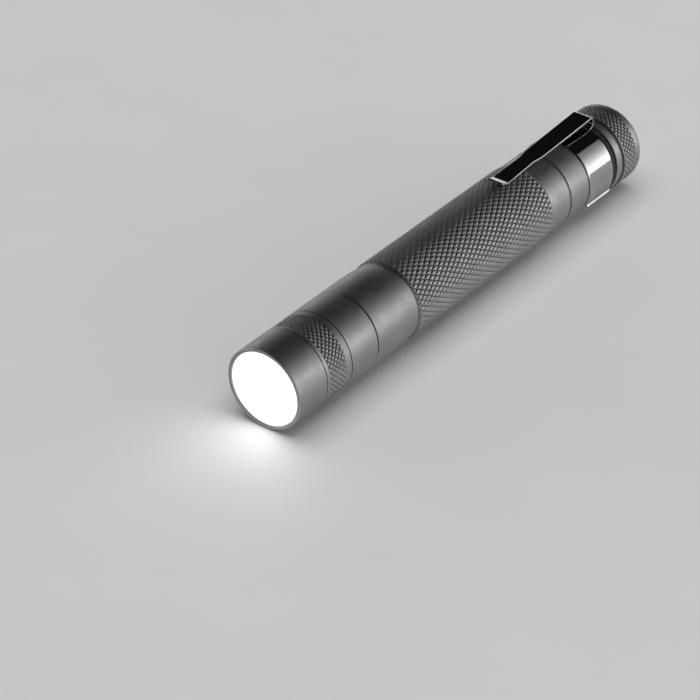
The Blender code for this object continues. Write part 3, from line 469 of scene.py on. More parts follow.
# %% Lit lens
LENS_COLOUR = (0.9, 0.92, 0.95, 1.0)
LENS_ROUGHNESS = 0.06
LENS_CENTRE = (1.0, 1.0, 1.0)
LENS_EDGE = (0.86, 0.93, 1.0)
LENS_GLOW = 3.0
LENS_EDGE_GLOW = 0.9
LENS_BRIGHT_RADIUS = 5.6 * MM
LENS_EDGE_RADIUS = 8.1 * MM
ACROSS_THE_AXIS = (0.0, 1.0, 1.0)


def make_lit_lens():
    """A glow whose colour and strength change with the distance from the light's axis."""
    finish, tree, shader = new_finish("lit_lens")
    place = object_place(tree, ACROSS_THE_AXIS, shift=(0.0, 0.0, -AXIS_HEIGHT))
    length = add_node(tree, "ShaderNodeVectorMath", {"Vector": place}, operation="LENGTH")
    share = remap(tree, length.outputs["Value"], LENS_BRIGHT_RADIUS, LENS_EDGE_RADIUS)
    set_inputs(shader, {
        "Base Color": LENS_COLOUR,
        "Roughness": LENS_ROUGHNESS,
        "Emission Color": blend(tree, share, LENS_CENTRE, LENS_EDGE),
        "Emission Strength": remap(tree, share, 0.0, 1.0, LENS_GLOW, LENS_EDGE_GLOW),
    })
    return finish


LIT_LENS = make_lit_lens()
print("made", LIT_LENS.name)

# %% [markdown]
# ## Bezel and lens
#
# The bezel is the smooth ring that screws on at the front. Its thin rim has a small chamfer on each side,
# which draws a fine line round the lens, and its lip holds the lens. The lens is one turned solid: a shallow
# front just behind the rim, a flange, and a deep dome behind that gathers the light. Each could be built from
# cylinders and a sphere, but one outline, spun whole, leaves no seams.

# %% Bezel
RIM_WIDTH = 0.85 * MM
RIM_CHAMFER = 0.16 * MM
LIP_THICKNESS = 0.8 * MM
LIP_CHAMFER = 0.1 * MM
BEZEL_WALL = 0.65 * MM
FINE = 0.06 * MM
BEZEL_GAP = 0.22 * MM
BEZEL_END = SLEEVE_FRONT - BEZEL_GAP
LENS_BORE = BODY_RADIUS - BEZEL_WALL
RIM_OPENING = BODY_RADIUS - RIM_WIDTH
bezel_rows = plain_rows([
    (BEZEL_FRONT + LIP_CHAMFER, RIM_OPENING, FINE),
    (BEZEL_FRONT, RIM_OPENING + LIP_CHAMFER, FINE),
    (BEZEL_FRONT, BODY_RADIUS - RIM_CHAMFER, FINE),
    (BEZEL_FRONT + RIM_CHAMFER, BODY_RADIUS, FINE),
    (BEZEL_END, BODY_RADIUS, FINE),
    (BEZEL_END, LENS_BORE, FINE),
    (BEZEL_FRONT + LIP_THICKNESS, LENS_BORE, 0.0),
    (BEZEL_FRONT + LIP_THICKNESS, RIM_OPENING, FINE),
])
add_turned("bezel", bezel_rows, ANODISED, "zoom_head", "front_bezel")

# %% Lens
LENS_COLUMNS = 128
LENS_FIT = 0.1 * MM
LENS_SETBACK = 0.65 * MM
LENS_FLANGE = 1.6 * MM
LENS_FLANGE_WIDTH = 1.2 * MM
LENS_FRONT, LENS_REAR = span("lens")
FACE_SETBACK = 0.1 * MM
FACE_CLEARANCE = 0.05 * MM
FACE_SAG = 0.15 * MM
FACE_RADIUS = RIM_OPENING - FACE_CLEARANCE
DOME_STEPS = 24


def dome(apex, radius, sag):
    """Corners of a spherical cap from its apex out to its rim: R (1 - cos) and R sin of a shared angle.

    The ball's radius is R = (radius^2 + sag^2) / (2 sag), which is negative for a cap that opens forward.
    """
    ball = (radius**2 + sag**2) / (2 * sag)
    angle = np.linspace(0.0, math.asin(radius / abs(ball)), DOME_STEPS)
    return sharp(apex + ball * (1 - np.cos(angle)), abs(ball) * np.sin(angle))


flange_front = LENS_FRONT + LENS_SETBACK
flange_rear = flange_front + LENS_FLANGE
flange_radius = LENS_BORE - LENS_FIT
lens_corners = [
    *dome(BEZEL_FRONT + FACE_SETBACK, FACE_RADIUS, FACE_SAG),
    (flange_front, FACE_RADIUS, 0.0),
    (flange_front, flange_radius, FINE),
    (flange_rear, flange_radius, FINE),
    *reversed(dome(LENS_REAR, flange_radius - LENS_FLANGE_WIDTH, flange_rear - LENS_REAR)),
]
add_turned("lens_disc", plain_rows(lens_corners, LENS_COLUMNS), LIT_LENS, "zoom_head", "lens")

# %% [markdown]
# ## The diamond knurl
#
# Knurling presses two sets of helical grooves into the metal, one right-handed and one left-handed. Where
# they cross, diamonds are left standing. A bump texture could hint at that, but the knurl is most of what one
# sees and feels here, so it is real geometry. With eight columns and eight rows to a diamond, each groove
# follows the diagonals of the grid exactly. The grip has long diamonds. The head and the cap have square
# ones, whose grooves fade out before they reach the plain metal beside them.

# %% Knurled rows
KNURL_DEPTH = 0.3 * MM
KNURL_CUT = 0.22 * MM
KNURL_WEAR = 0.3
KNURL_WEAR_POWER = 6
GRIP_DIAMOND = 2.12 * MM
SQUARE_DIAMOND = 1.22 * MM
GROOVE_HALF_WIDTH = 0.12 * MM
CROWN_SHARE = 0.65
KNURL_ROOT = BODY_RADIUS - KNURL_DEPTH


def from_groove(phase):
    """Distance from a phase to the nearest whole number, where a groove runs."""
    return np.abs(phase - np.round(phase))


def knurl_rows(front, rear, diamond, fades):
    """Rows of a knurled band, with row i and column j: grooves lie where (i + j)/8 or (i - j)/8 is whole.

    With n the distance to the nearest groove, in spacings between grooves, a flank rises straight to 1 over
    half the groove's width, and the diamond's crown as 1 - (1 - 2n)^2. The cut is KNURL_CUT times what is
    missing from flank and crown. Where the band fades, the cut shrinks to nothing over the last KNURL_DEPTH
    before each end. Elsewhere the ends are chamfered.
    """
    count = round((rear - front) / diamond * COLUMNS_PER_DIAMOND)
    i = np.arange(count + 1)[:, None]
    j = np.arange(SHELL_COLUMNS)[None, :]
    right = from_groove((i + j) / COLUMNS_PER_DIAMOND)
    left = from_groove((i - j) / COLUMNS_PER_DIAMOND)
    nearest = np.minimum(right, left)
    spacing = 1 / math.hypot(1 / diamond, DIAMONDS_ROUND / (math.tau * BODY_RADIUS))
    flank = np.clip(nearest * spacing / GROOVE_HALF_WIDTH, 0.0, 1.0)
    crown = 1 - (1 - 2 * nearest) ** 2
    cut = KNURL_CUT * (1 - (1 - CROWN_SHARE) * flank - CROWN_SHARE * crown)
    from_end = np.minimum(i, count - i) * (rear - front) / count
    if fades:
        depth = cut * np.clip(from_end / KNURL_DEPTH, 0.0, 1.0)
    else:
        depth = np.maximum(cut, KNURL_DEPTH - from_end)
    middle_right = from_groove((i + j + 1) / COLUMNS_PER_DIAMOND)
    split = np.where(middle_right < left, FALLING, RISING)
    share = np.clip(depth / KNURL_CUT, 0.0, 1.0)
    wear = KNURL_WEAR * (1 - share) ** KNURL_WEAR_POWER
    # The square of the depth's share is painted shade, darkest at the bottom of the grooves.
    return Rows(np.linspace(front, rear, count + 1), BODY_RADIUS - depth, wear, share**2, split)


print("grip diamonds:", DIAMONDS_ROUND, "round and", GRIP_DIAMOND / MM, "mm long")

# %% [markdown]
# ## Sliding sleeve
#
# The sleeve carries the head. From the front it has a narrow land, a knurled band, another land, a turned
# groove, and a plain skirt that slides over the neck. A spigot in front of it screws into the bezel. A
# separate knurled band could be laid over a plain sleeve, but it would show a seam, so plain and knurled rows
# are joined into one surface.

# %% Sleeve
EDGE = 0.12 * MM
SOFT = 0.14 * MM
SLEEVE_FRONT_LAND = 0.65 * MM
SLEEVE_KNURL_LENGTH = 5.6 * MM
SLEEVE_GROOVE_PLACE = 7.7 * MM
SLEEVE_GROOVE_WIDTH = 0.3 * MM
GROOVE_DEPTH = 0.3 * MM
BUSH_LENGTH = 8.15 * MM
BUSH_STEP = 0.4 * MM
SPIGOT_WALL = 0.55 * MM
SPIGOT_RADIUS = LENS_BORE - LENS_FIT
SLEEVE_BORE = SPIGOT_RADIUS - SPIGOT_WALL
BUSH_BORE = SLEEVE_BORE - BUSH_STEP


def groove(front, rear, wall, depth=GROOVE_DEPTH):
    """Corners of a square groove turned into a wall."""
    floor = wall - depth
    return [(front, wall, FINE), (front, floor, FINE), (rear, floor, FINE), (rear, wall, FINE)]


knurl_front = SLEEVE_FRONT + SLEEVE_FRONT_LAND
knurl_rear = knurl_front + SLEEVE_KNURL_LENGTH
sleeve_groove = SLEEVE_FRONT + SLEEVE_GROOVE_PLACE
sleeve_rows = join_rows(
    plain_rows([
        (SPIGOT_FRONT, SLEEVE_BORE, 0.0),
        (SPIGOT_FRONT, SPIGOT_RADIUS, SOFT),
        (SLEEVE_FRONT, SPIGOT_RADIUS, FINE),
        (SLEEVE_FRONT, BODY_RADIUS, FINE),
        (knurl_front - HOLD, BODY_RADIUS, 0.0),
        (knurl_front, BODY_RADIUS, 0.0),
    ]),
    knurl_rows(knurl_front, knurl_rear, SQUARE_DIAMOND, fades=True),
    plain_rows([
        (knurl_rear, BODY_RADIUS, 0.0),
        (knurl_rear + HOLD, BODY_RADIUS, 0.0),
        *groove(sleeve_groove, sleeve_groove + SLEEVE_GROOVE_WIDTH, BODY_RADIUS),
        (SLEEVE_REAR - EDGE, BODY_RADIUS, FINE),
        (SLEEVE_REAR, BODY_RADIUS - EDGE, FINE),
        (SLEEVE_REAR, BUSH_BORE, FINE),
        (SLEEVE_REAR - BUSH_LENGTH, BUSH_BORE, FINE),
        (SLEEVE_REAR - BUSH_LENGTH, SLEEVE_BORE, 0.0),
    ]),
)
add_turned("focus_sleeve", sleeve_rows, ANODISED, "zoom_head", "head_sleeve")

# %% [markdown]
# ## Neck
#
# Behind the sleeve is the neck: a slide tube that shows when the head is drawn out, the smooth collar that
# tapers softly into a waist, and a spigot inside the body tube. A straight cone would meet the collar at an
# edge that catches the light, so the taper is an arc that leaves the straight wall without a corner.

# %% Neck
COLLAR_STRAIGHT = 7.4 * MM
WAIST_STEP = 0.4 * MM
WAIST_STEPS = 16
SLIDE_WALL = 0.95 * MM
SLIDE_RADIUS = BUSH_BORE - SEAT_GAP
LED_BORE = SLIDE_RADIUS - SLIDE_WALL
LED_FLOOR = span("led_board")[1] + SEAT_GAP
HEAT_WEB = 7.0 * MM
HEAT_WEB_STEP = 0.95 * MM
SPIGOT_INSET = 0.75 * MM
DRIVER_WALL = 1.15 * MM
SHELF_STEP = 0.8 * MM
NECK_SPIGOT = KNURL_ROOT - SPIGOT_INSET
DRIVER_BORE = NECK_SPIGOT - DRIVER_WALL
DRIVER_SHELF = span("driver_board")[0] - SEAT_GAP
SEAL_HALF = 0.65 * MM
SEAL_GROOVE_DEPTH = 1.18 * MM
SLIDE_SEAL_PLACE = sum(span("zoom_o_ring")) / 2
SPIGOT_SEAL_PLACE = sum(span("neck_o_ring")) / 2
STOP_RING_FRONT, STOP_RING_REAR = span("zoom_stop_ring")
STOP_GROOVE_DEPTH = 0.35 * MM


def waist():
    """Corners of the collar's taper, a circle arc of rise WAIST_STEP over the rest of the collar's length."""
    reach = COLLAR_REAR - COLLAR_FRONT - COLLAR_STRAIGHT
    radius = (reach**2 + WAIST_STEP**2) / (2 * WAIST_STEP)
    angle = np.linspace(0.0, math.asin(reach / radius), WAIST_STEPS)
    along = COLLAR_FRONT + COLLAR_STRAIGHT + radius * np.sin(angle)
    return sharp(along, BODY_RADIUS - radius * (1 - np.cos(angle)))


neck_rows = plain_rows([
    (LED_FLOOR, 0.0, 0.0),
    (LED_FLOOR, LED_BORE, 0.0),
    (SLIDE_FRONT, LED_BORE, FINE),
    (SLIDE_FRONT, SLIDE_RADIUS, SOFT),
    *groove(STOP_RING_FRONT - SEAT_GAP, STOP_RING_REAR + SEAT_GAP, SLIDE_RADIUS, STOP_GROOVE_DEPTH),
    *groove(SLIDE_SEAL_PLACE - SEAL_HALF, SLIDE_SEAL_PLACE + SEAL_HALF, SLIDE_RADIUS, SEAL_GROOVE_DEPTH),
    (COLLAR_FRONT, SLIDE_RADIUS, FINE),
    (COLLAR_FRONT, BODY_RADIUS - EDGE, FINE),
    (COLLAR_FRONT + EDGE, BODY_RADIUS, FINE),
    *waist(),
    (COLLAR_REAR, NECK_SPIGOT, FINE),
    *groove(SPIGOT_SEAL_PLACE - SEAL_HALF, SPIGOT_SEAL_PLACE + SEAL_HALF, NECK_SPIGOT, SEAL_GROOVE_DEPTH),
    (NECK_REAR, NECK_SPIGOT, SOFT),
    (NECK_REAR, DRIVER_BORE, FINE),
    (DRIVER_SHELF, DRIVER_BORE, 0.0),
    (DRIVER_SHELF, DRIVER_BORE - SHELF_STEP, FINE),
    (LED_FLOOR + HEAT_WEB, LED_BORE - HEAT_WEB_STEP, 0.0),
    (LED_FLOOR + HEAT_WEB, 0.0, 0.0),
])
add_turned("neck_collar", neck_rows, ANODISED, "barrel", "neck_housing")

# %% [markdown]
# ## Body tube
#
# The body tube is the handle: a long knurled grip with a chamfer at its front, two smooth lands with a groove
# between them, and a turned-down seat for the clip's band. It is made as the sleeve is, from plain and
# knurled rows joined into one surface, and its bore is part of the same outline.

# %% Body tube
GRIP_CHAMFER = 0.1 * MM
CLIP_SEAT_LENGTH = 9.65 * MM
CLIP_SEAT_STEP = 0.7 * MM
REAR_LAND_LENGTH = 6.5 * MM
MIDDLE_LAND_LENGTH = 6.5 * MM
TUBE_GROOVE_WIDTH = 0.7 * MM
TUBE_WALL = 1.5 * MM
TUBE_BORE = BODY_RADIUS - TUBE_WALL
NECK_SOCKET = NECK_SPIGOT + SEAT_GAP
CLIP_SEAT_RADIUS = BODY_RADIUS - CLIP_SEAT_STEP
CLIP_SHOULDER = TUBE_REAR - CLIP_SEAT_LENGTH
groove_rear = CLIP_SHOULDER - REAR_LAND_LENGTH
groove_front = groove_rear - TUBE_GROOVE_WIDTH
grip_rear = groove_front - MIDDLE_LAND_LENGTH
grip_front = TUBE_FRONT + GRIP_CHAMFER
tube_rows = join_rows(
    plain_rows([
        (TUBE_FRONT, NECK_SOCKET, 0.0),
        (TUBE_FRONT, KNURL_ROOT - FINE, FINE),
        (grip_front, KNURL_ROOT, 0.0),
    ]),
    knurl_rows(grip_front, grip_rear, GRIP_DIAMOND, fades=False),
    plain_rows([
        (grip_rear, KNURL_ROOT, 0.0),
        (grip_rear + HOLD, KNURL_ROOT, 0.0),
        *groove(groove_front, groove_rear, KNURL_ROOT),
        (CLIP_SHOULDER, KNURL_ROOT, FINE),
        (CLIP_SHOULDER, CLIP_SEAT_RADIUS, FINE),
        (TUBE_REAR - EDGE, CLIP_SEAT_RADIUS, FINE),
        (TUBE_REAR, CLIP_SEAT_RADIUS - EDGE, FINE),
        (TUBE_REAR, TUBE_BORE, SOFT),
        (NECK_REAR + PARTING_GAP, TUBE_BORE, 0.0),
        (NECK_REAR + PARTING_GAP, NECK_SOCKET, 0.0),
    ]),
)
add_turned("grip_tube", tube_rows, ANODISED, "barrel", "body_tube")

# %% [markdown]
# ## Tail cap
#
# The cap screws into the tube. Rings on its spigot would pass for a thread at rest, but they would stand
# still as the cap turns, so it carries a real thread, with the joint's pitch of one millimetre. Outside it
# has a smooth ring, a groove, a knurled band and a rounded end, with a chamfered opening for the button.

# %% Thread
THREAD_PITCH = 1.0 * MM
THREAD_DEPTH = 0.35 * MM
THREAD_ROWS_PER_TURN = 12
THREAD_ROOT_SHARE = 0.12
THREAD_FLANK_SHARE = 0.22
THREAD_WEAR = 0.5
THREAD_WEAR_POWER = 4
# How strongly painted shade darkens the colour at the thread's roots.
THREAD_ROOT_SHADE = 0.6


def thread_rows(front, rear, crest):
    """Rows of a thread whose root runs where along/pitch - phi/turn is whole, with flat crests and roots.

    Its depth shrinks to nothing at both ends, where the thread runs out.
    """
    count = round((rear - front) / THREAD_PITCH * THREAD_ROWS_PER_TURN)
    along = np.linspace(front, rear, count + 1)
    turn = np.arange(SHELL_COLUMNS) / SHELL_COLUMNS
    from_root = from_groove(along[:, None] / THREAD_PITCH - turn)
    rise = np.clip((from_root - THREAD_ROOT_SHARE) / THREAD_FLANK_SHARE, 0.0, 1.0)
    depth = np.minimum(THREAD_DEPTH, np.minimum(along - front, rear - along))[:, None]
    rows = bare_rows(along, crest - depth * (1 - rise))
    # Painted shade darkens the roots, where shade falls between the flanks.
    return rows._replace(wear=THREAD_WEAR * rise**THREAD_WEAR_POWER, grime=THREAD_ROOT_SHADE * (1 - rise))


print(f"thread pitch {THREAD_PITCH / MM} mm, depth {THREAD_DEPTH / MM} mm")

# %% Tail cap
CAP_RING_LENGTH = 1.75 * MM
CAP_RING_STEP = 0.2 * MM
CAP_RING_RADIUS = BODY_RADIUS - CAP_RING_STEP
CAP_GROOVE_WIDTH = 0.75 * MM
CAP_GROOVE_DEPTH = 0.55 * MM
CAP_GROOVE_FLOOR = BODY_RADIUS - CAP_GROOVE_DEPTH
CAP_END_RING = 2.75 * MM
CAP_END_ROUNDING = 2.0 * MM
CAP_END_STEPS = 16
CAP_FIT = 0.15 * MM
CAP_WALL = 1.15 * MM
CAP_SPIGOT = TUBE_BORE - CAP_FIT
SWITCH_BORE = CAP_SPIGOT - CAP_WALL
BUTTON_HOLE = 4.6 * MM
FLANGE_ROOM = 1.3 * MM
CAP_FLOOR = span("button_boot")[0] + FLANGE_ROOM


def rounded_end(rear, outer, rounding):
    """Corners of a quarter circle from a wall over to an end face."""
    angle = np.linspace(0.0, math.pi / 2, CAP_END_STEPS)
    return sharp(rear - rounding * (1 - np.sin(angle)), outer - rounding * (1 - np.cos(angle)))


thread_front = CAP_SPIGOT_FRONT + EDGE
thread_rear = TUBE_REAR - EDGE
cap_ring_rear = CAP_FRONT + CAP_RING_LENGTH
cap_knurl_front = cap_ring_rear + CAP_GROOVE_WIDTH
cap_knurl_rear = CAP_REAR - CAP_END_RING
cap_rows = join_rows(
    plain_rows([
        (CAP_SPIGOT_FRONT, SWITCH_BORE, 0.0),
        (CAP_SPIGOT_FRONT, CAP_SPIGOT - EDGE, FINE),
        (thread_front, CAP_SPIGOT, 0.0),
    ]),
    thread_rows(thread_front, thread_rear, CAP_SPIGOT),
    plain_rows([
        (thread_rear, CAP_SPIGOT, 0.0),
        (CAP_FRONT, CAP_SPIGOT, FINE),
        (CAP_FRONT, CAP_RING_RADIUS - EDGE, FINE),
        (CAP_FRONT + EDGE, CAP_RING_RADIUS, FINE),
        (cap_ring_rear, CAP_RING_RADIUS, FINE),
        (cap_ring_rear, CAP_GROOVE_FLOOR, FINE),
        (cap_knurl_front, CAP_GROOVE_FLOOR, FINE),
        (cap_knurl_front, BODY_RADIUS, FINE),
        (cap_knurl_front + EDGE, BODY_RADIUS, 0.0),
    ]),
    knurl_rows(cap_knurl_front + EDGE, cap_knurl_rear, SQUARE_DIAMOND, fades=True),
    plain_rows([
        (cap_knurl_rear, BODY_RADIUS, 0.0),
        (cap_knurl_rear + HOLD, BODY_RADIUS, 0.0),
        *rounded_end(CAP_REAR, BODY_RADIUS, CAP_END_ROUNDING),
        (CAP_REAR, BUTTON_HOLE + LIP_CHAMFER, FINE),
        (CAP_REAR - LIP_CHAMFER, BUTTON_HOLE, FINE),
        (CAP_FLOOR, BUTTON_HOLE, FINE),
        (CAP_FLOOR, SWITCH_BORE, 0.0),
    ]),
)
add_turned("screw_cap", cap_rows, ANODISED, "tail_cap", "tail_cap")

# %% [markdown]
# ## Seals and the button
#
# The seals are rings of round section. Blender has a torus for that, but a ring is also a circle carried
# round the axis, so it goes through the same spinning function, with a circle for its outline. The button is
# a rubber boot with a flange inside the cap and a crowned face with two low rings moulded in it for grip.

# %% Seal rings
SEAL_COLUMNS = 160
SEAL_STEPS = 28
SEAL_SQUEEZE = 0.06 * MM
TAIL_SEAL_REACH = 1.16 * MM
SEALS = {
    "lens_o_ring": ("zoom_head", LENS_BORE - SEAL_SQUEEZE),
    "zoom_o_ring": ("barrel", BUSH_BORE - SEAL_SQUEEZE),
    "neck_o_ring": ("barrel", NECK_SOCKET - SEAL_SQUEEZE),
    "tail_o_ring": ("tail_seal", CAP_SPIGOT + TAIL_SEAL_REACH),
}


def seal_rows(front, rear, outer):
    """A circle of diameter rear - front whose outermost point is at a radius."""
    half = (rear - front) / 2
    angle = -np.arange(SEAL_STEPS) * math.tau / SEAL_STEPS
    radius = outer - half + half * np.sin(angle)
    return bare_rows((front + rear) / 2 + half * np.cos(angle), spread(radius, SEAL_COLUMNS))


for node, (body, outer) in SEALS.items():
    name = node.replace("o_ring", "seal")
    add_turned(name, seal_rows(*span(node), outer), RUBBER, body, node)

# %% Button
BUTTON_COLUMNS = 128
BUTTON_FRONT, BUTTON_REAR = span("button_boot")
BUTTON_RADIUS = 4.4 * MM
BUTTON_FLANGE = 1.2 * MM
BUTTON_CROWN = 0.5 * MM
BUTTON_FACE_STEPS = 120
BUTTON_RING_RADII = (1.7 * MM, 3.0 * MM)
BUTTON_RING_WIDTH = 0.22 * MM
BUTTON_RING_HEIGHT = 0.12 * MM
CASE_RADIUS = SWITCH_BORE - CAP_FIT
face_radius = np.linspace(BUTTON_RADIUS - SOFT, 0.0, BUTTON_FACE_STEPS)
face_along = BUTTON_REAR - BUTTON_RING_HEIGHT - BUTTON_CROWN * (face_radius / BUTTON_RADIUS) ** 2
for ring_radius in BUTTON_RING_RADII:
    from_ring = (face_radius - ring_radius) / BUTTON_RING_WIDTH
    face_along = face_along + BUTTON_RING_HEIGHT * np.exp(-(from_ring**2))
button_corners = [
    (BUTTON_FRONT, 0.0, 0.0),
    (BUTTON_FRONT, CASE_RADIUS, FINE),
    (BUTTON_FRONT + BUTTON_FLANGE, CASE_RADIUS, FINE),
    (BUTTON_FRONT + BUTTON_FLANGE, BUTTON_RADIUS, FINE),
    (face_along[0] - SOFT, BUTTON_RADIUS, SOFT),
    *sharp(face_along, face_radius),
]
button_rows = plain_rows(button_corners, BUTTON_COLUMNS)
add_turned("rubber_button", button_rows, RUBBER, "button", "button_boot")

# %% [markdown]
# ## Pocket clip
#
# The clip is one strip of sheet steel. A C-shaped band grips the tube and its ends turn outwards. A tongue
# leaves the band's rear edge, folds back over it and becomes the arm, which has a narrow neck and flares up
# at its tip. With both faces modelled it would be hard to keep one thickness in the bends, so only the middle
# of the sheet is worked out, as two grids that share the row where the tongue starts. A Solidify modifier
# gives the thickness and a Bevel the rounded edges, which make the thin bright lines along the arm.

# %% Band of the clip
CLIP_SHEET = 0.5 * MM
CLIP_CLEARANCE = 0.15 * MM
CLIP_WRAP = math.radians(114)
CLIP_LIP_REACH = 0.7 * MM
CLIP_TONGUE_LENGTH = 0.55 * MM
CLIP_FOLD_RISE = 2.25 * MM
CLIP_ARM_WIDTH = 4.6 * MM
SIDE_STEPS = 44
TONGUE_STEPS = 12
LIP_STEPS = 3
BAND_RADIUS = CLIP_SEAT_RADIUS + CLIP_CLEARANCE + CLIP_SHEET / 2
FOLD_RADIUS = CLIP_FOLD_RISE / 2
FOLD_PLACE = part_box("pocket_clip")[1].x - FOLD_RADIUS - CLIP_SHEET / 2
BAND_FRONT = CLIP_SHOULDER + CLIP_CLEARANCE
BAND_REAR = FOLD_PLACE - CLIP_TONGUE_LENGTH


def band_section():
    """Angles from the top and radii round the band, with the ends turned out by a parabola."""
    tongue = math.asin(CLIP_ARM_WIDTH / 2 / BAND_RADIUS)
    side = np.linspace(tongue, CLIP_WRAP, SIDE_STEPS + 1)[1:]
    lip = np.arange(1, LIP_STEPS + 1) / LIP_STEPS
    half = np.concatenate([side, CLIP_WRAP + lip * CLIP_LIP_REACH / BAND_RADIUS])
    radius = np.concatenate([np.full(SIDE_STEPS, BAND_RADIUS), BAND_RADIUS + CLIP_LIP_REACH * lip**2])
    middle = np.linspace(-tongue, tongue, TONGUE_STEPS + 1)
    angles = np.concatenate([-half[::-1], middle, half])
    return angles, np.concatenate([radius[::-1], np.full(TONGUE_STEPS + 1, BAND_RADIUS), radius])


print(f"clip band {(BAND_REAR - BAND_FRONT) / MM:.2f} mm long")

# %% Arm of the clip
CLIP_ARM_LENGTH = 29.9 * MM
CLIP_ARM_TAPER = 0.25 * MM
CLIP_NECK_WIDTH = 3.5 * MM
CLIP_TIP_WIDTH = 4.05 * MM
CLIP_NECK_PLACE = 19.6 * MM
CLIP_NECK_BLEND = 3.2 * MM
CLIP_TIP_GAP = 0.05 * MM
CLIP_FLARE_LENGTH = 2.7 * MM
CLIP_FLARE_RADIUS = 4.5 * MM
FOLD_STEPS = 16
ARM_STEPS = 60
FLARE_STEPS = 6


def smooth_step(share):
    """3 s^2 - 2 s^3, with s held between 0 and 1."""
    held = np.clip(share, 0.0, 1.0)
    return held * held * (3 - 2 * held)


def arm_width(run):
    """Width of the arm at a distance from the fold: it tapers, steps in at its neck and widens to the tip."""
    past_neck = (run - CLIP_NECK_PLACE) / (CLIP_ARM_LENGTH - CLIP_NECK_PLACE)
    rear = CLIP_ARM_WIDTH - CLIP_ARM_TAPER * run / CLIP_NECK_PLACE
    front = CLIP_NECK_WIDTH + (CLIP_TIP_WIDTH - CLIP_NECK_WIDTH) * past_neck
    return rear + (front - rear) * smooth_step((run - CLIP_NECK_PLACE) / CLIP_NECK_BLEND + 0.5)


def arm_path():
    """Place, height over the axis, half width and droop of each row of the tongue.

    The rows go round the fold on a half circle, along the arm on a straight slope, and up the flare on an
    arc. The droop is how far the sides still follow the round band, and it fades out over the fold.
    """
    half_width = CLIP_ARM_WIDTH / 2
    hang = BAND_RADIUS - math.sqrt(BAND_RADIUS**2 - half_width**2)
    top = BAND_RADIUS + CLIP_FOLD_RISE
    touch = BODY_RADIUS + CLIP_TIP_GAP + CLIP_SHEET / 2
    turn = np.linspace(0.0, math.pi, FOLD_STEPS)
    share = np.arange(1, ARM_STEPS + 1) / ARM_STEPS
    curl = np.arange(1, FLARE_STEPS + 1) / FLARE_STEPS * CLIP_FLARE_LENGTH / CLIP_FLARE_RADIUS
    fold = [
        FOLD_PLACE + FOLD_RADIUS * np.sin(turn),
        BAND_RADIUS + FOLD_RADIUS * (1 - np.cos(turn)),
        np.full(FOLD_STEPS, half_width),
        hang * (1 - smooth_step((1 - np.cos(turn)) / 2)),
    ]
    arm = [
        FOLD_PLACE - CLIP_ARM_LENGTH * share,
        top + (touch - top) * share,
        arm_width(share * CLIP_ARM_LENGTH) / 2,
        np.zeros(ARM_STEPS),
    ]
    flare = [
        FOLD_PLACE - CLIP_ARM_LENGTH - CLIP_FLARE_RADIUS * np.sin(curl),
        touch + CLIP_FLARE_RADIUS * (1 - np.cos(curl)),
        np.full(FLARE_STEPS, CLIP_TIP_WIDTH / 2),
        np.zeros(FLARE_STEPS),
    ]
    return np.concatenate([fold, arm, flare], axis=1)


print(f"clip arm {CLIP_ARM_LENGTH / MM:.1f} mm long")

# %% Band and arm, joined and given their thickness
BAND_LENGTH_STEPS = 22
CLIP_EDGE_ROUNDING = 0.17 * MM
CLIP_EDGE_STEPS = 4
CLIP_EDGE_ANGLE = math.radians(50)


def clip_mesh():
    """Band (x, r sin angle, r cos angle) and tongue (along, half u, height - droop u^2), joined at a row."""
    angles, radii = band_section()
    x = np.linspace(BAND_FRONT, BAND_REAR, BAND_LENGTH_STEPS + 1)[:, None] + 0 * angles
    y = 0 * x + radii * np.sin(angles)
    z = 0 * x + AXIS_HEIGHT + radii * np.cos(angles)
    band = np.stack([x, y, z], axis=-1).reshape(-1, 3)
    along, height, half, droop = (values[:, None] for values in arm_path())
    u = np.linspace(-1.0, 1.0, TONGUE_STEPS + 1)[None, :]
    tongue = np.stack([along + 0 * u, half * u, AXIS_HEIGHT + height - droop * u**2], axis=-1)
    band_index = np.arange(len(band)).reshape(x.shape)
    first = LIP_STEPS + SIDE_STEPS
    root = band_index[-1:, first:first + TONGUE_STEPS + 1]
    tongue_index = len(band) + np.arange(tongue[..., 0].size).reshape(tongue.shape[:2])
    grids = [band_index, np.concatenate([root, tongue_index])]
    points = np.concatenate([band, tongue.reshape(-1, 3)])
    return fill_mesh("sheet_clip", points, [quads(grid)[:, ::-1] for grid in grids])


clip = add_piece("sheet_clip", clip_mesh(), PLATED, "clip", "pocket_clip")
thickness = clip.modifiers.new("sheet", "SOLIDIFY")
thickness.thickness = CLIP_SHEET
thickness.offset = 0.0
thickness.use_even_offset = True
edges = clip.modifiers.new("stamped_edges", "BEVEL")
edges.width = CLIP_EDGE_ROUNDING
edges.segments = CLIP_EDGE_STEPS
edges.limit_method = "ANGLE"
edges.angle_limit = CLIP_EDGE_ANGLE
flats = clip.modifiers.new("flat_shading", "WEIGHTED_NORMAL")
flats.keep_sharp = False

# %% [markdown]
# ## Finishes of the inside pieces
#
# Inside are brass rings, spring wire, circuit boards, plastic, a phosphor dome, a wound choke, two leads and
# a plain wrapped cell. They differ only in two colours, the scale of their grain, and how rough and metallic
# they are, so one function makes them all. Where bare metal shows, as on a board's pads or a lead's soldered
# ends, the wear that comes with the mesh says so.

# %% Finishes of the inside pieces
TIN = (0.60, 0.58, 0.54)
COPPER = (0.62, 0.27, 0.13)
GOLD = (0.72, 0.52, 0.22)
TURNED = (40.0, 1.0, 1.0)
SMOOTHER = 0.06
ROUGHER = 0.08


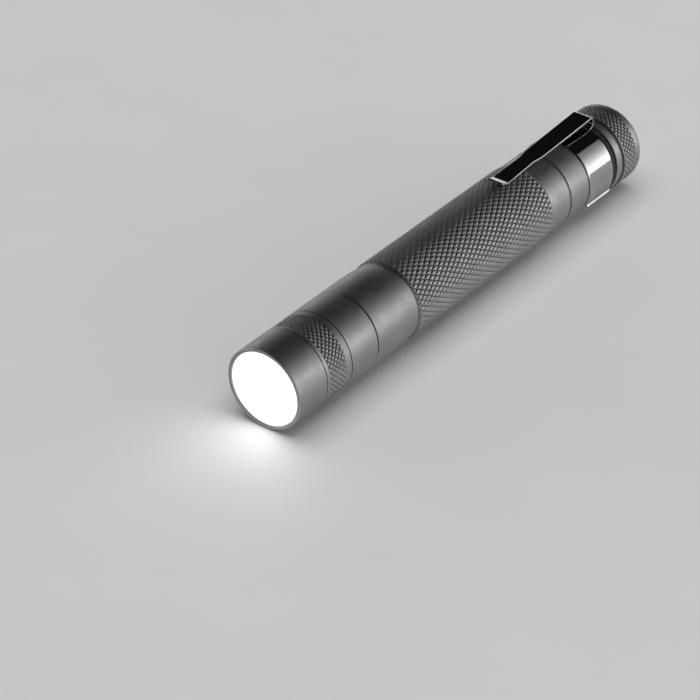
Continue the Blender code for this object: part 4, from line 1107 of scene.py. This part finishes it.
def make_inner(name, low, high, scale, roughness, metallic=0.0, stretch=EVEN, bare=None):
    """A two-tone finish with its own grain: noise sets the colour, the roughness and a fine relief."""
    finish, tree, shader = new_finish(name)
    grain = noise(tree, scale, detail=5.0, stretch=stretch)
    colour = blend(tree, remap(tree, grain, 0.35, 0.65), low, high)
    if bare:
        metallic = attribute(tree, "edge_wear")
        colour = blend(tree, metallic, colour, bare)
    set_inputs(shader, {
        "Metallic": metallic,
        "Base Color": colour,
        "Roughness": remap(tree, grain, 0.3, 0.7, roughness - SMOOTHER, roughness + ROUGHER),
        "Normal": relief(tree, grain, strength=0.2, distance=0.02 * MM),
    })
    return finish


BRASS = make_inner("turned_brass", (0.62, 0.42, 0.16), (0.78, 0.58, 0.28), 300.0, 0.28, 1.0, TURNED)
SPRING_WIRE = make_inner("spring_wire", (0.50, 0.49, 0.47), (0.66, 0.64, 0.61), 900.0, 0.24, 1.0)
WHITE_BOARD = make_inner("white_board", (0.76, 0.76, 0.74), (0.84, 0.84, 0.82), 600.0, 0.42, bare=TIN)
GREEN_BOARD = make_inner("green_board", (0.015, 0.11, 0.045), (0.03, 0.17, 0.07), 500.0, 0.36, bare=GOLD)
WHITE_NYLON = make_inner("white_nylon", (0.74, 0.73, 0.70), (0.82, 0.81, 0.78), 1500.0, 0.5)
BLACK_NYLON = make_inner("black_nylon", (0.018, 0.018, 0.018), (0.035, 0.035, 0.036), 1500.0, 0.5)
PHOSPHOR = make_inner("phosphor", (0.85, 0.62, 0.08), (0.95, 0.80, 0.20), 2500.0, 0.4)
FERRITE = make_inner("ferrite", (0.035, 0.035, 0.04), (0.08, 0.08, 0.085), 3000.0, 0.62, bare=COPPER)
RED_JACKET = make_inner("red_jacket", (0.45, 0.015, 0.015), (0.62, 0.03, 0.03), 1200.0, 0.48, bare=TIN)
BLACK_JACKET = make_inner("black_jacket", (0.015, 0.015, 0.015), (0.04, 0.04, 0.04), 1200.0, 0.48, bare=TIN)
PLAIN_WRAP = make_inner("plain_wrap", (0.30, 0.31, 0.33), (0.40, 0.41, 0.43), 250.0, 0.32, 0.0, TURNED, TIN)
print("made the inside finishes")

# %% [markdown]
# ## Coils, leads and the snap ring
#
# Five inside pieces are bent wire or strip: two contact springs, two leads and the snap ring that stops the
# head at full zoom. Each is a flat shape carried along a path. A curve with a bevel would come close, but
# here the shape may change along the path, which gives the leads their bare, soldered ends.

# %% Carry a shape along a path
WIRE_SIDES = 14


def carried_mesh(name, path, across, section, bare):
    """The closed surface P(i, j) = path_i + u_ij across_i + v_ij rise_i, with a fan at each end.

    The rise is square to the path's direction, which is the difference of its neighbours, and to across.
    """
    rise = np.cross(np.gradient(path, axis=0), across)
    rise = rise / np.linalg.norm(rise, axis=1, keepdims=True)
    points = path[:, None] + section[..., :1] * across[:, None] + section[..., 1:] * rise[:, None]
    ring = np.arange(points[..., 0].size).reshape(points.shape[:2])
    faces = [quads(np.pad(ring, ((0, 0), (0, 1)), mode="wrap")), *fans(ring)]
    flat = np.concatenate([points.reshape(-1, 3), path[[0, -1]]])
    shows = np.concatenate([np.repeat(bare, ring.shape[1]), bare[[0, -1]]])
    return fill_mesh(name, flat, faces, edge_wear=shows)


def round_section(radius):
    """A circle for each point of a path, with its own radius."""
    angle = np.arange(WIRE_SIDES) * math.tau / WIRE_SIDES
    return radius[:, None, None] * np.stack([np.cos(angle), np.sin(angle)], axis=-1)


def outward(angle):
    """Unit vectors away from the light's axis."""
    return np.stack([0 * angle, np.cos(angle), np.sin(angle)], axis=1)


print("a wire has", WIRE_SIDES, "sides")

# %% Springs
SPRING_POINTS = 48
SPRING_EASE = 0.4
SPRINGS = {
    "front_spring": ("positive_contact_spring", "barrel"),
    "rear_spring": ("tail_spring", "tail_cap"),
}
SPRING_SIZES = {
    "front_spring": dict(base=6.6 * MM, tip=3.4 * MM, wire=0.6 * MM, turns=2.5),
    "rear_spring": dict(base=8.4 * MM, tip=5.0 * MM, wire=0.8 * MM, turns=3.5),
}


def spring_mesh(name, start, end, base, tip, wire, turns):
    """A conical helix from start to end. With s from 0 to 1, the diameter goes straight from base to tip.

    The place goes as s - SPRING_EASE sin(2 pi s) / (2 pi), so that the end turns lie flatter.
    """
    s = np.linspace(0.0, 1.0, round(turns * SPRING_POINTS) + 1)
    radius = (base + (tip - base) * s - wire) / 2
    across = outward(math.tau * turns * s)
    inset = math.copysign(wire / 2, end - start)
    eased = s - SPRING_EASE * np.sin(math.tau * s) / math.tau
    path = radius[:, None] * across
    path[:, 0] = start + inset + (end - start - 2 * inset) * eased
    path[:, 2] += AXIS_HEIGHT
    return carried_mesh(name, path, across, round_section(np.full(len(s), wire / 2)), np.zeros(len(s)))


for name, (node, body) in SPRINGS.items():
    base_end, tip_end = span(node) if body == "barrel" else span(node)[::-1]
    coil = spring_mesh(name, base_end, tip_end, **SPRING_SIZES[name])
    add_piece(name, coil, SPRING_WIRE, body, node)

# %% Snap ring
SNAP_POINTS = 160
SNAP_WIDTH = 0.65 * MM
SNAP_FIRST = math.radians(95.625)
SNAP_SWEEP = math.radians(336.0)
SQUARE = [(-1, -1), (1, -1), (1, 1), (-1, 1)]
snap_across = outward(np.linspace(SNAP_FIRST, SNAP_FIRST + SNAP_SWEEP, SNAP_POINTS))
snap_path = (SLEEVE_BORE - SEAT_GAP - SNAP_WIDTH / 2) * snap_across
snap_path += np.array([(STOP_RING_FRONT + STOP_RING_REAR) / 2, 0.0, AXIS_HEIGHT])
half_width = SNAP_WIDTH / 2
half_length = (STOP_RING_REAR - STOP_RING_FRONT) / 2
snap_corners = [(u * half_width, v * half_length, SOFT) for u, v in SQUARE]
snap_outline = np.stack(rounded_outline(snap_corners)[:2], axis=-1)
snap_section = np.broadcast_to(snap_outline, (SNAP_POINTS, *snap_outline.shape))
snap_mesh = carried_mesh("snap_ring", snap_path, snap_across, snap_section, np.zeros(SNAP_POINTS))
add_piece("snap_ring", snap_mesh, SPRING_WIRE, "barrel", "zoom_stop_ring")

# %% Leads
LEAD_POINTS = 90
LEAD_JACKET = 0.5 * MM
LEAD_STRAND = 0.28 * MM
LEAD_SOLDER = 0.5 * MM
LEAD_SOLDER_LENGTH = 0.3 * MM
LEAD_BARE = 0.9 * MM
LEAD_CUT = 0.05 * MM
LEAD_OFFSET = 3.6 * MM
LEAD_STRAIGHT = 1.0 * MM
LEAD_BOW = 0.9 * MM
LEADS = {
    "red_lead": ("led_wire_positive", 1, RED_JACKET, "red_jacket"),
    "black_lead": ("led_wire_negative", -1, BLACK_JACKET, "black_jacket"),
}


def lead_mesh(name, node, side):
    """A lead that is straight through the web and bows up by LEAD_BOW sin^2(pi s) behind it.

    Its radius steps from solder to strand to jacket at both ends.
    """
    start, end = span(node)
    length = end - start
    steps = np.array([0.0, LEAD_SOLDER_LENGTH, LEAD_BARE, LEAD_BARE + LEAD_CUT])
    radii = [LEAD_SOLDER, LEAD_STRAND, LEAD_STRAND, LEAD_JACKET]
    run = np.union1d(np.linspace(0.0, length, LEAD_POINTS), np.concatenate([steps, length - steps]))
    from_end = np.minimum(run, length - run)
    s = np.clip((run - HEAT_WEB - LEAD_STRAIGHT) / (length - HEAT_WEB - LEAD_STRAIGHT), 0.0, 1.0)
    height = AXIS_HEIGHT + LEAD_BOW * np.sin(math.pi * s) ** 2
    path = np.stack([start + run, np.full(len(run), side * LEAD_OFFSET), height], axis=1)
    across = np.broadcast_to([0.0, 1.0, 0.0], path.shape)
    section = round_section(np.interp(from_end, steps, radii))
    return carried_mesh(name, path, across, section, (from_end <= LEAD_BARE).astype(float))


for name, (node, side, finish, slot) in LEADS.items():
    add_piece(name, lead_mesh(name, node, side), finish, "barrel", node)

# %% [markdown]
# ## Boards, emitter and choke
#
# A board is a disc whose copper pads stand a little proud of its face. The pads could be separate pieces, but
# they are low steps in the board's outline here, with metal showing on them. The emitter has a square base
# and a round dome, so its outline changes from a rounded square to a circle on the way. The choke is a drum
# of ferrite whose waist is wound with copper wire.

# %% Boards
PAD_HEIGHT = 0.05 * MM
BOARD_COLUMNS = 128
BOARDS = {
    "light_board": ("led_board", "barrel", WHITE_BOARD, "light_board", LED_BORE - SEAT_GAP),
    "driver_disc": ("driver_board", "barrel", GREEN_BOARD, "circuit_board", DRIVER_BORE - SEAT_GAP),
    "contact_disc": ("switch_contact_board", "tail_cap", GREEN_BOARD, "circuit_board", CASE_RADIUS),
}
FRONT_PADS_MM = {
    "light_board": [(2.5, 3.0), (4.4, 5.4)],
    "driver_disc": [(3.0, 4.2), (5.6, 6.4)],
    "contact_disc": [(3.0, 4.5), (5.0, 5.8)],
}
REAR_PADS_MM = {
    "light_board": [(3.0, 4.2)],
    "driver_disc": [(2.2, 3.8), (5.2, 6.4)],
    "contact_disc": [(1.0, 2.2), (4.8, 5.8)],
}


def pads(low, high, rings_mm):
    """Corners of ring-shaped pads, each with an inner and an outer radius, that step from low to high."""
    corners = []
    for inner, outer in MM * np.array(rings_mm):
        corners += sharp([low, high, high, low], [inner, inner + PAD_HEIGHT, outer - PAD_HEIGHT, outer])
    return corners


def board_rows(front, rear, radius, front_rings_mm, rear_rings_mm):
    """Rows of a disc with pads on both faces, whose tops are marked as bare metal."""
    front_face = front + PAD_HEIGHT
    rear_face = rear - PAD_HEIGHT
    rows = plain_rows([
        (front_face, 0.0, 0.0),
        *pads(front_face, front, front_rings_mm),
        (front_face, radius, FINE),
        (rear_face, radius, FINE),
        *reversed(pads(rear_face, rear, rear_rings_mm)),
        (rear_face, 0.0, 0.0),
    ], BOARD_COLUMNS)
    proud = (rows.along < front + PAD_HEIGHT / 2) | (rows.along > rear - PAD_HEIGHT / 2)
    return rows._replace(wear=spread(proud.astype(float), BOARD_COLUMNS))


for name, (node, body, finish, slot, radius) in BOARDS.items():
    rows = board_rows(*span(node), radius, FRONT_PADS_MM[name], REAR_PADS_MM[name])
    add_turned(name, rows, finish, body, node)

# %% Emitter
EMITTER_COLUMNS = 96
EMITTER_HALF = 1.725 * MM
EMITTER_BASE = 0.8 * MM
EMITTER_DOME = 1.45 * MM
EMITTER_POWER = 9
EMITTER_ROUNDING = 0.08 * MM


def emitter_rows(rear):
    """Rows from a circle, cos phi and sin phi, to a rounded square, divided by (|cos|^9 + |sin|^9)^(1/9)."""
    phi = np.arange(EMITTER_COLUMNS) * math.tau / EMITTER_COLUMNS
    powers = np.abs(np.cos(phi)) ** EMITTER_POWER + np.abs(np.sin(phi)) ** EMITTER_POWER
    square = powers ** (-1 / EMITTER_POWER)
    ball = np.linspace(0.0, math.pi / 2, DOME_STEPS)
    face = rear - EMITTER_BASE
    base_along = [face, face + EMITTER_ROUNDING, rear - EMITTER_ROUNDING, rear, rear]
    inset = EMITTER_HALF - EMITTER_ROUNDING
    base_half = np.array([inset, EMITTER_HALF, EMITTER_HALF, inset, 0.0])
    along = np.concatenate([face - EMITTER_DOME * np.cos(ball), base_along])
    dome_radius = spread(EMITTER_DOME * np.sin(ball), EMITTER_COLUMNS)
    return bare_rows(along, np.concatenate([dome_radius, base_half[:, None] * square]))


add_turned("emitter", emitter_rows(span("led_emitter")[1]), PHOSPHOR, "barrel", "led_emitter")

# %% Choke
CHOKE_RADIUS = 2.1 * MM
CHOKE_FLANGE = 0.6 * MM
CHOKE_WAIST = 1.5 * MM
CHOKE_TURNS = 8
CHOKE_COIL = 0.1 * MM
CHOKE_STEPS = 12
choke_front, choke_rear = span("driver_inductor")
wound_front = choke_front + CHOKE_FLANGE
wound_rear = choke_rear - CHOKE_FLANGE
wound = np.linspace(wound_front, wound_rear, CHOKE_TURNS * CHOKE_STEPS + 1)
ripple = np.abs(np.sin(math.pi * np.linspace(0.0, CHOKE_TURNS, len(wound))))
choke_rows = plain_rows([
    (choke_front, 0.0, 0.0),
    (choke_front, CHOKE_RADIUS, SOFT),
    (wound_front, CHOKE_RADIUS, SOFT),
    *sharp(wound, CHOKE_WAIST + CHOKE_COIL * ripple),
    (wound_rear, CHOKE_RADIUS, SOFT),
    (choke_rear, CHOKE_RADIUS, SOFT),
    (choke_rear, 0.0, 0.0),
], BOARD_COLUMNS)
in_waist = (choke_rows.along > wound_front - FINE) & (choke_rows.along < wound_rear + FINE)
copper = (choke_rows.radius < CHOKE_WAIST + 2 * CHOKE_COIL) & in_waist[:, None]
choke_rows = choke_rows._replace(wear=copper.astype(float))
add_turned("wound_choke", choke_rows, FERRITE, "barrel", "driver_inductor")

# %% [markdown]
# ## Brass rings, switch parts and the cell
#
# The two brass rings screw in behind the driver and in front of the switch. They carry a thread outside and
# two notches inside, for a pin spanner. The holder of the emitter, the switch and its spacer are moulded, and
# the cell has a bare nub and a bare base with the wrap's edge folded over them. All of them are round, so
# each is an outline again, and the notches are cut by moving points of the ring's opening outwards.

# %% Brass rings
RING_OPENING = 4.8 * MM
NOTCH_DEPTH = 0.7 * MM
NOTCH_ANGLE = math.radians(9.0)
BRASS_RINGS = {
    "driver_ring": ("driver_retainer", "barrel", DRIVER_BORE - SEAT_GAP),
    "switch_ring": ("switch_retainer", "tail_cap", CASE_RADIUS),
}


def brass_rows(front, rear, outer):
    """Rows of a threaded ring, its opening deepened by an ellipse of NOTCH_ANGLE at two opposite places."""
    phi = np.arange(SHELL_COLUMNS) * math.tau / SHELL_COLUMNS
    from_notch = np.arcsin(np.abs(np.sin(phi))) / NOTCH_ANGLE
    notch = NOTCH_DEPTH * np.sqrt(np.clip(1 - from_notch**2, 0.0, 1.0))
    mouth = plain_rows([(front, RING_OPENING, 0.0), (front, outer - EDGE, FINE), (front + EDGE, outer, 0.0)])
    heel = plain_rows([(rear - EDGE, outer, 0.0), (rear, outer - EDGE, FINE), (rear, RING_OPENING, 0.0)])
    rows = join_rows(mouth, thread_rows(front + EDGE, rear - EDGE, outer), heel)
    opening = rows.radius < RING_OPENING + FINE
    return rows._replace(radius=np.where(opening, rows.radius + notch, rows.radius))


for name, (node, body, outer) in BRASS_RINGS.items():
    add_turned(name, brass_rows(*span(node), outer), BRASS, body, node)

# %% Moulded pieces
HOLDER_OPENING = 2.8 * MM
HOLDER_FLARE = 1.0 * MM
HOLDER_RADIUS = LED_BORE - SEAT_GAP
CASE_BAND = 1.0 * MM
CASE_STEP = 0.35 * MM
CASE_HOLE = 1.9 * MM
CASE_HOLE_DEPTH = 2.2 * MM
PIN_RADIUS = 1.6 * MM
SPACER_WALL = 1.0 * MM
holder_front, holder_rear = span("led_retainer")
case_front, case_rear = span("switch_body")
spacer_front, spacer_rear = span("switch_spacer")
pin_front, pin_rear = span("switch_plunger")
MOULDED = {
    "emitter_holder": ("led_retainer", "barrel", WHITE_NYLON, "white_plastic", [
        (holder_front, HOLDER_OPENING + HOLDER_FLARE, FINE),
        (holder_front, HOLDER_RADIUS, SOFT),
        (holder_rear, HOLDER_RADIUS, SOFT),
        (holder_rear, HOLDER_OPENING, FINE),
    ]),
    "switch_case": ("switch_body", "tail_cap", BLACK_NYLON, "black_plastic", [
        (case_front, 0.0, 0.0),
        (case_front, CASE_RADIUS, SOFT),
        (case_front + CASE_BAND, CASE_RADIUS, FINE),
        (case_front + CASE_BAND, CASE_RADIUS - CASE_STEP, FINE),
        (case_rear - CASE_BAND, CASE_RADIUS - CASE_STEP, FINE),
        (case_rear - CASE_BAND, CASE_RADIUS, FINE),
        (case_rear, CASE_RADIUS, SOFT),
        (case_rear, CASE_HOLE, SOFT),
        (case_rear - CASE_HOLE_DEPTH, CASE_HOLE, FINE),
        (case_rear - CASE_HOLE_DEPTH, 0.0, 0.0),
    ]),
    "boot_spacer": ("switch_spacer", "tail_cap", WHITE_NYLON, "white_plastic", [
        (spacer_front, CASE_RADIUS - SPACER_WALL, SOFT),
        (spacer_front, CASE_RADIUS, SOFT),
        (spacer_rear, CASE_RADIUS, SOFT),
        (spacer_rear, CASE_RADIUS - SPACER_WALL, SOFT),
    ]),
    "switch_pin": ("switch_plunger", "button", WHITE_NYLON, "white_plastic", [
        (pin_front, 0.0, 0.0),
        (pin_front, PIN_RADIUS, SOFT),
        (pin_rear, PIN_RADIUS, SOFT),
        (pin_rear, 0.0, 0.0),
    ]),
}
for name, (node, body, finish, slot, corners) in MOULDED.items():
    add_turned(name, plain_rows(corners, BOARD_COLUMNS), finish, body, node)

# %% Cell
CELL_RADIUS = 7.25 * MM
CELL_NUB = 2.75 * MM
CELL_NUB_HEIGHT = 1.0 * MM
WRAP_EDGE = 5.4 * MM
WRAP_FOLD = 0.12 * MM
CELL_ROUNDING = 0.4 * MM
cell_front, cell_rear = span("battery_cell")
shoulder = cell_front + CELL_NUB_HEIGHT
cell_rows = plain_rows([
    (cell_front, 0.0, 0.0),
    (cell_front, CELL_NUB, CELL_ROUNDING),
    (shoulder + WRAP_FOLD, CELL_NUB, FINE),
    (shoulder + WRAP_FOLD, WRAP_EDGE, 0.0),
    (shoulder, WRAP_EDGE + FINE, FINE),
    (shoulder, CELL_RADIUS, CELL_ROUNDING),
    (cell_rear, CELL_RADIUS, CELL_ROUNDING),
    (cell_rear, WRAP_EDGE + FINE, FINE),
    (cell_rear - WRAP_FOLD, WRAP_EDGE, 0.0),
    (cell_rear - WRAP_FOLD, 0.0, 0.0),
], BOARD_COLUMNS)
bare_ends = (cell_rows.radius < WRAP_EDGE + FINE / 2).astype(float)
cell_rows = cell_rows._replace(wear=bare_ends)
add_turned("wrapped_cell", cell_rows, PLAIN_WRAP, "barrel", "battery_cell")

# %% [markdown]
# ## Stage, light and camera
#
# The floor is a plain pale sheet. A picture of a room could light the scene, but metal mirrors all of it, so
# a few softboxes are placed. A large one on the camera's right makes the broad bright band along the
# side. A weak one behind on the left draws the thin line along the far edge. Two faint ones beside the head
# show the shells from the sides and from behind. A wide light overhead brightens the floor but isn't seen in
# the metal, so the top of the light stays dark. The camera looks down from the front right through a long
# lens, as the photograph's did.

# %% Floor
FLOOR_HALF = 3.0
FLOOR_ROUGHNESS = 0.55
FLOOR_GLOSS = 0.3
FLOOR_DARK = (0.71, 0.71, 0.72)
FLOOR_LIGHT = (0.73, 0.73, 0.74)


def make_floor_finish():
    """A pale matt sheet with a faint drift of tone and a fine grain."""
    finish, tree, shader = new_finish("pale_floor")
    tone = patches(tree, 0.3, 0.7, scale=30.0)
    set_inputs(shader, {
        "Base Color": blend(tree, tone, FLOOR_DARK, FLOOR_LIGHT),
        "Roughness": FLOOR_ROUGHNESS,
        "Specular IOR Level": FLOOR_GLOSS,
        "Normal": relief(tree, noise(tree, scale=900.0), strength=0.05, distance=0.05 * MM),
    })
    return finish


floor_points = np.pad(FLOOR_HALF * np.array(SQUARE), ((0, 0), (0, 1)))
floor = add_object("floor", fill_mesh("floor", floor_points, [np.array([[0, 1, 2, 3]])]))
floor.data.materials.append(make_floor_finish())
print("floor is", 2 * FLOOR_HALF, "m wide")

# %% Lights
FADE_POWER = 3.0
WORLD_GREY = (0.01, 0.01, 0.01, 1.0)


def softbox(name, place, aim_height, width, height, power, fade=0.0, in_metal=True):
    """A rectangular light turned towards a point on the vertical line through the middle of the part.

    At a share y of its height, from bottom to top, its glow is 1 - fade + fade (1 - y)^3.
    """
    lamp = bpy.data.lights.new(name, "AREA")
    lamp.shape = "RECTANGLE"
    lamp.size = width
    lamp.size_y = height
    lamp.energy = power
    if fade:
        lamp.use_nodes = True
        tree = lamp.node_tree
        spot = add_node(tree, "ShaderNodeNewGeometry", {}).outputs["Parametric"]
        risen = add_node(tree, "ShaderNodeSeparateXYZ", {"Vector": spot}).outputs["Y"]
        below_top = remap(tree, risen, 0.0, 1.0, to_low=1.0, to_high=0.0)
        glow = remap(tree, combine(tree, "POWER", below_top, FADE_POWER), 0.0, 1.0, to_low=1.0 - fade)
        set_inputs(tree.nodes["Emission"], {"Strength": glow})
    holder = add_object(name, lamp)
    holder.location = place
    aim = Vector((0.0, 0.0, aim_height))
    holder.rotation_euler = (aim - Vector(place)).to_track_quat("-Z", "Y").to_euler()
    holder.visible_glossy = in_metal


softbox("key_box", (0.66, -0.75, 0.50), aim_height=0.50, width=1.0, height=1.0, power=14.0, fade=0.92)
softbox("edge_box", (0.74, 0.67, 0.18), aim_height=0.18, width=1.1, height=0.36, power=3.2, fade=0.7)
for name, side in (("near_box", -0.95), ("far_box", 0.95)):
    softbox(name, (-0.45, side, 0.60), aim_height=0.60, width=1.1, height=1.2, power=11.0, fade=0.97)
softbox("floor_fill", (0.0, 0.0, 1.4), AXIS_HEIGHT, width=1.6, height=1.6, power=17.0, in_metal=False)
world = bpy.data.worlds.new("studio")
world.use_nodes = True
set_inputs(world.node_tree.nodes["Background"], {"Color": WORLD_GREY})
bpy.context.scene.world = world

# %% Camera
CAMERA_PLACE = (-0.47027, -0.33143, 0.37048)
CAMERA_VIEW = (0.6625, 0.5020, -0.5559)
CAMERA_LENS_MM = 169.7
CAMERA_SENSOR_MM = 36.0
camera_data = bpy.data.cameras.new("camera")
camera_data.lens = CAMERA_LENS_MM
camera_data.sensor_width = CAMERA_SENSOR_MM
camera = add_object("camera", camera_data)
camera.location = CAMERA_PLACE
camera.rotation_euler = Vector(CAMERA_VIEW).to_track_quat("-Z", "Y").to_euler()
bpy.context.scene.camera = camera
bpy.context.scene.view_settings.view_transform = "Standard"
print("camera lens", CAMERA_LENS_MM, "mm")
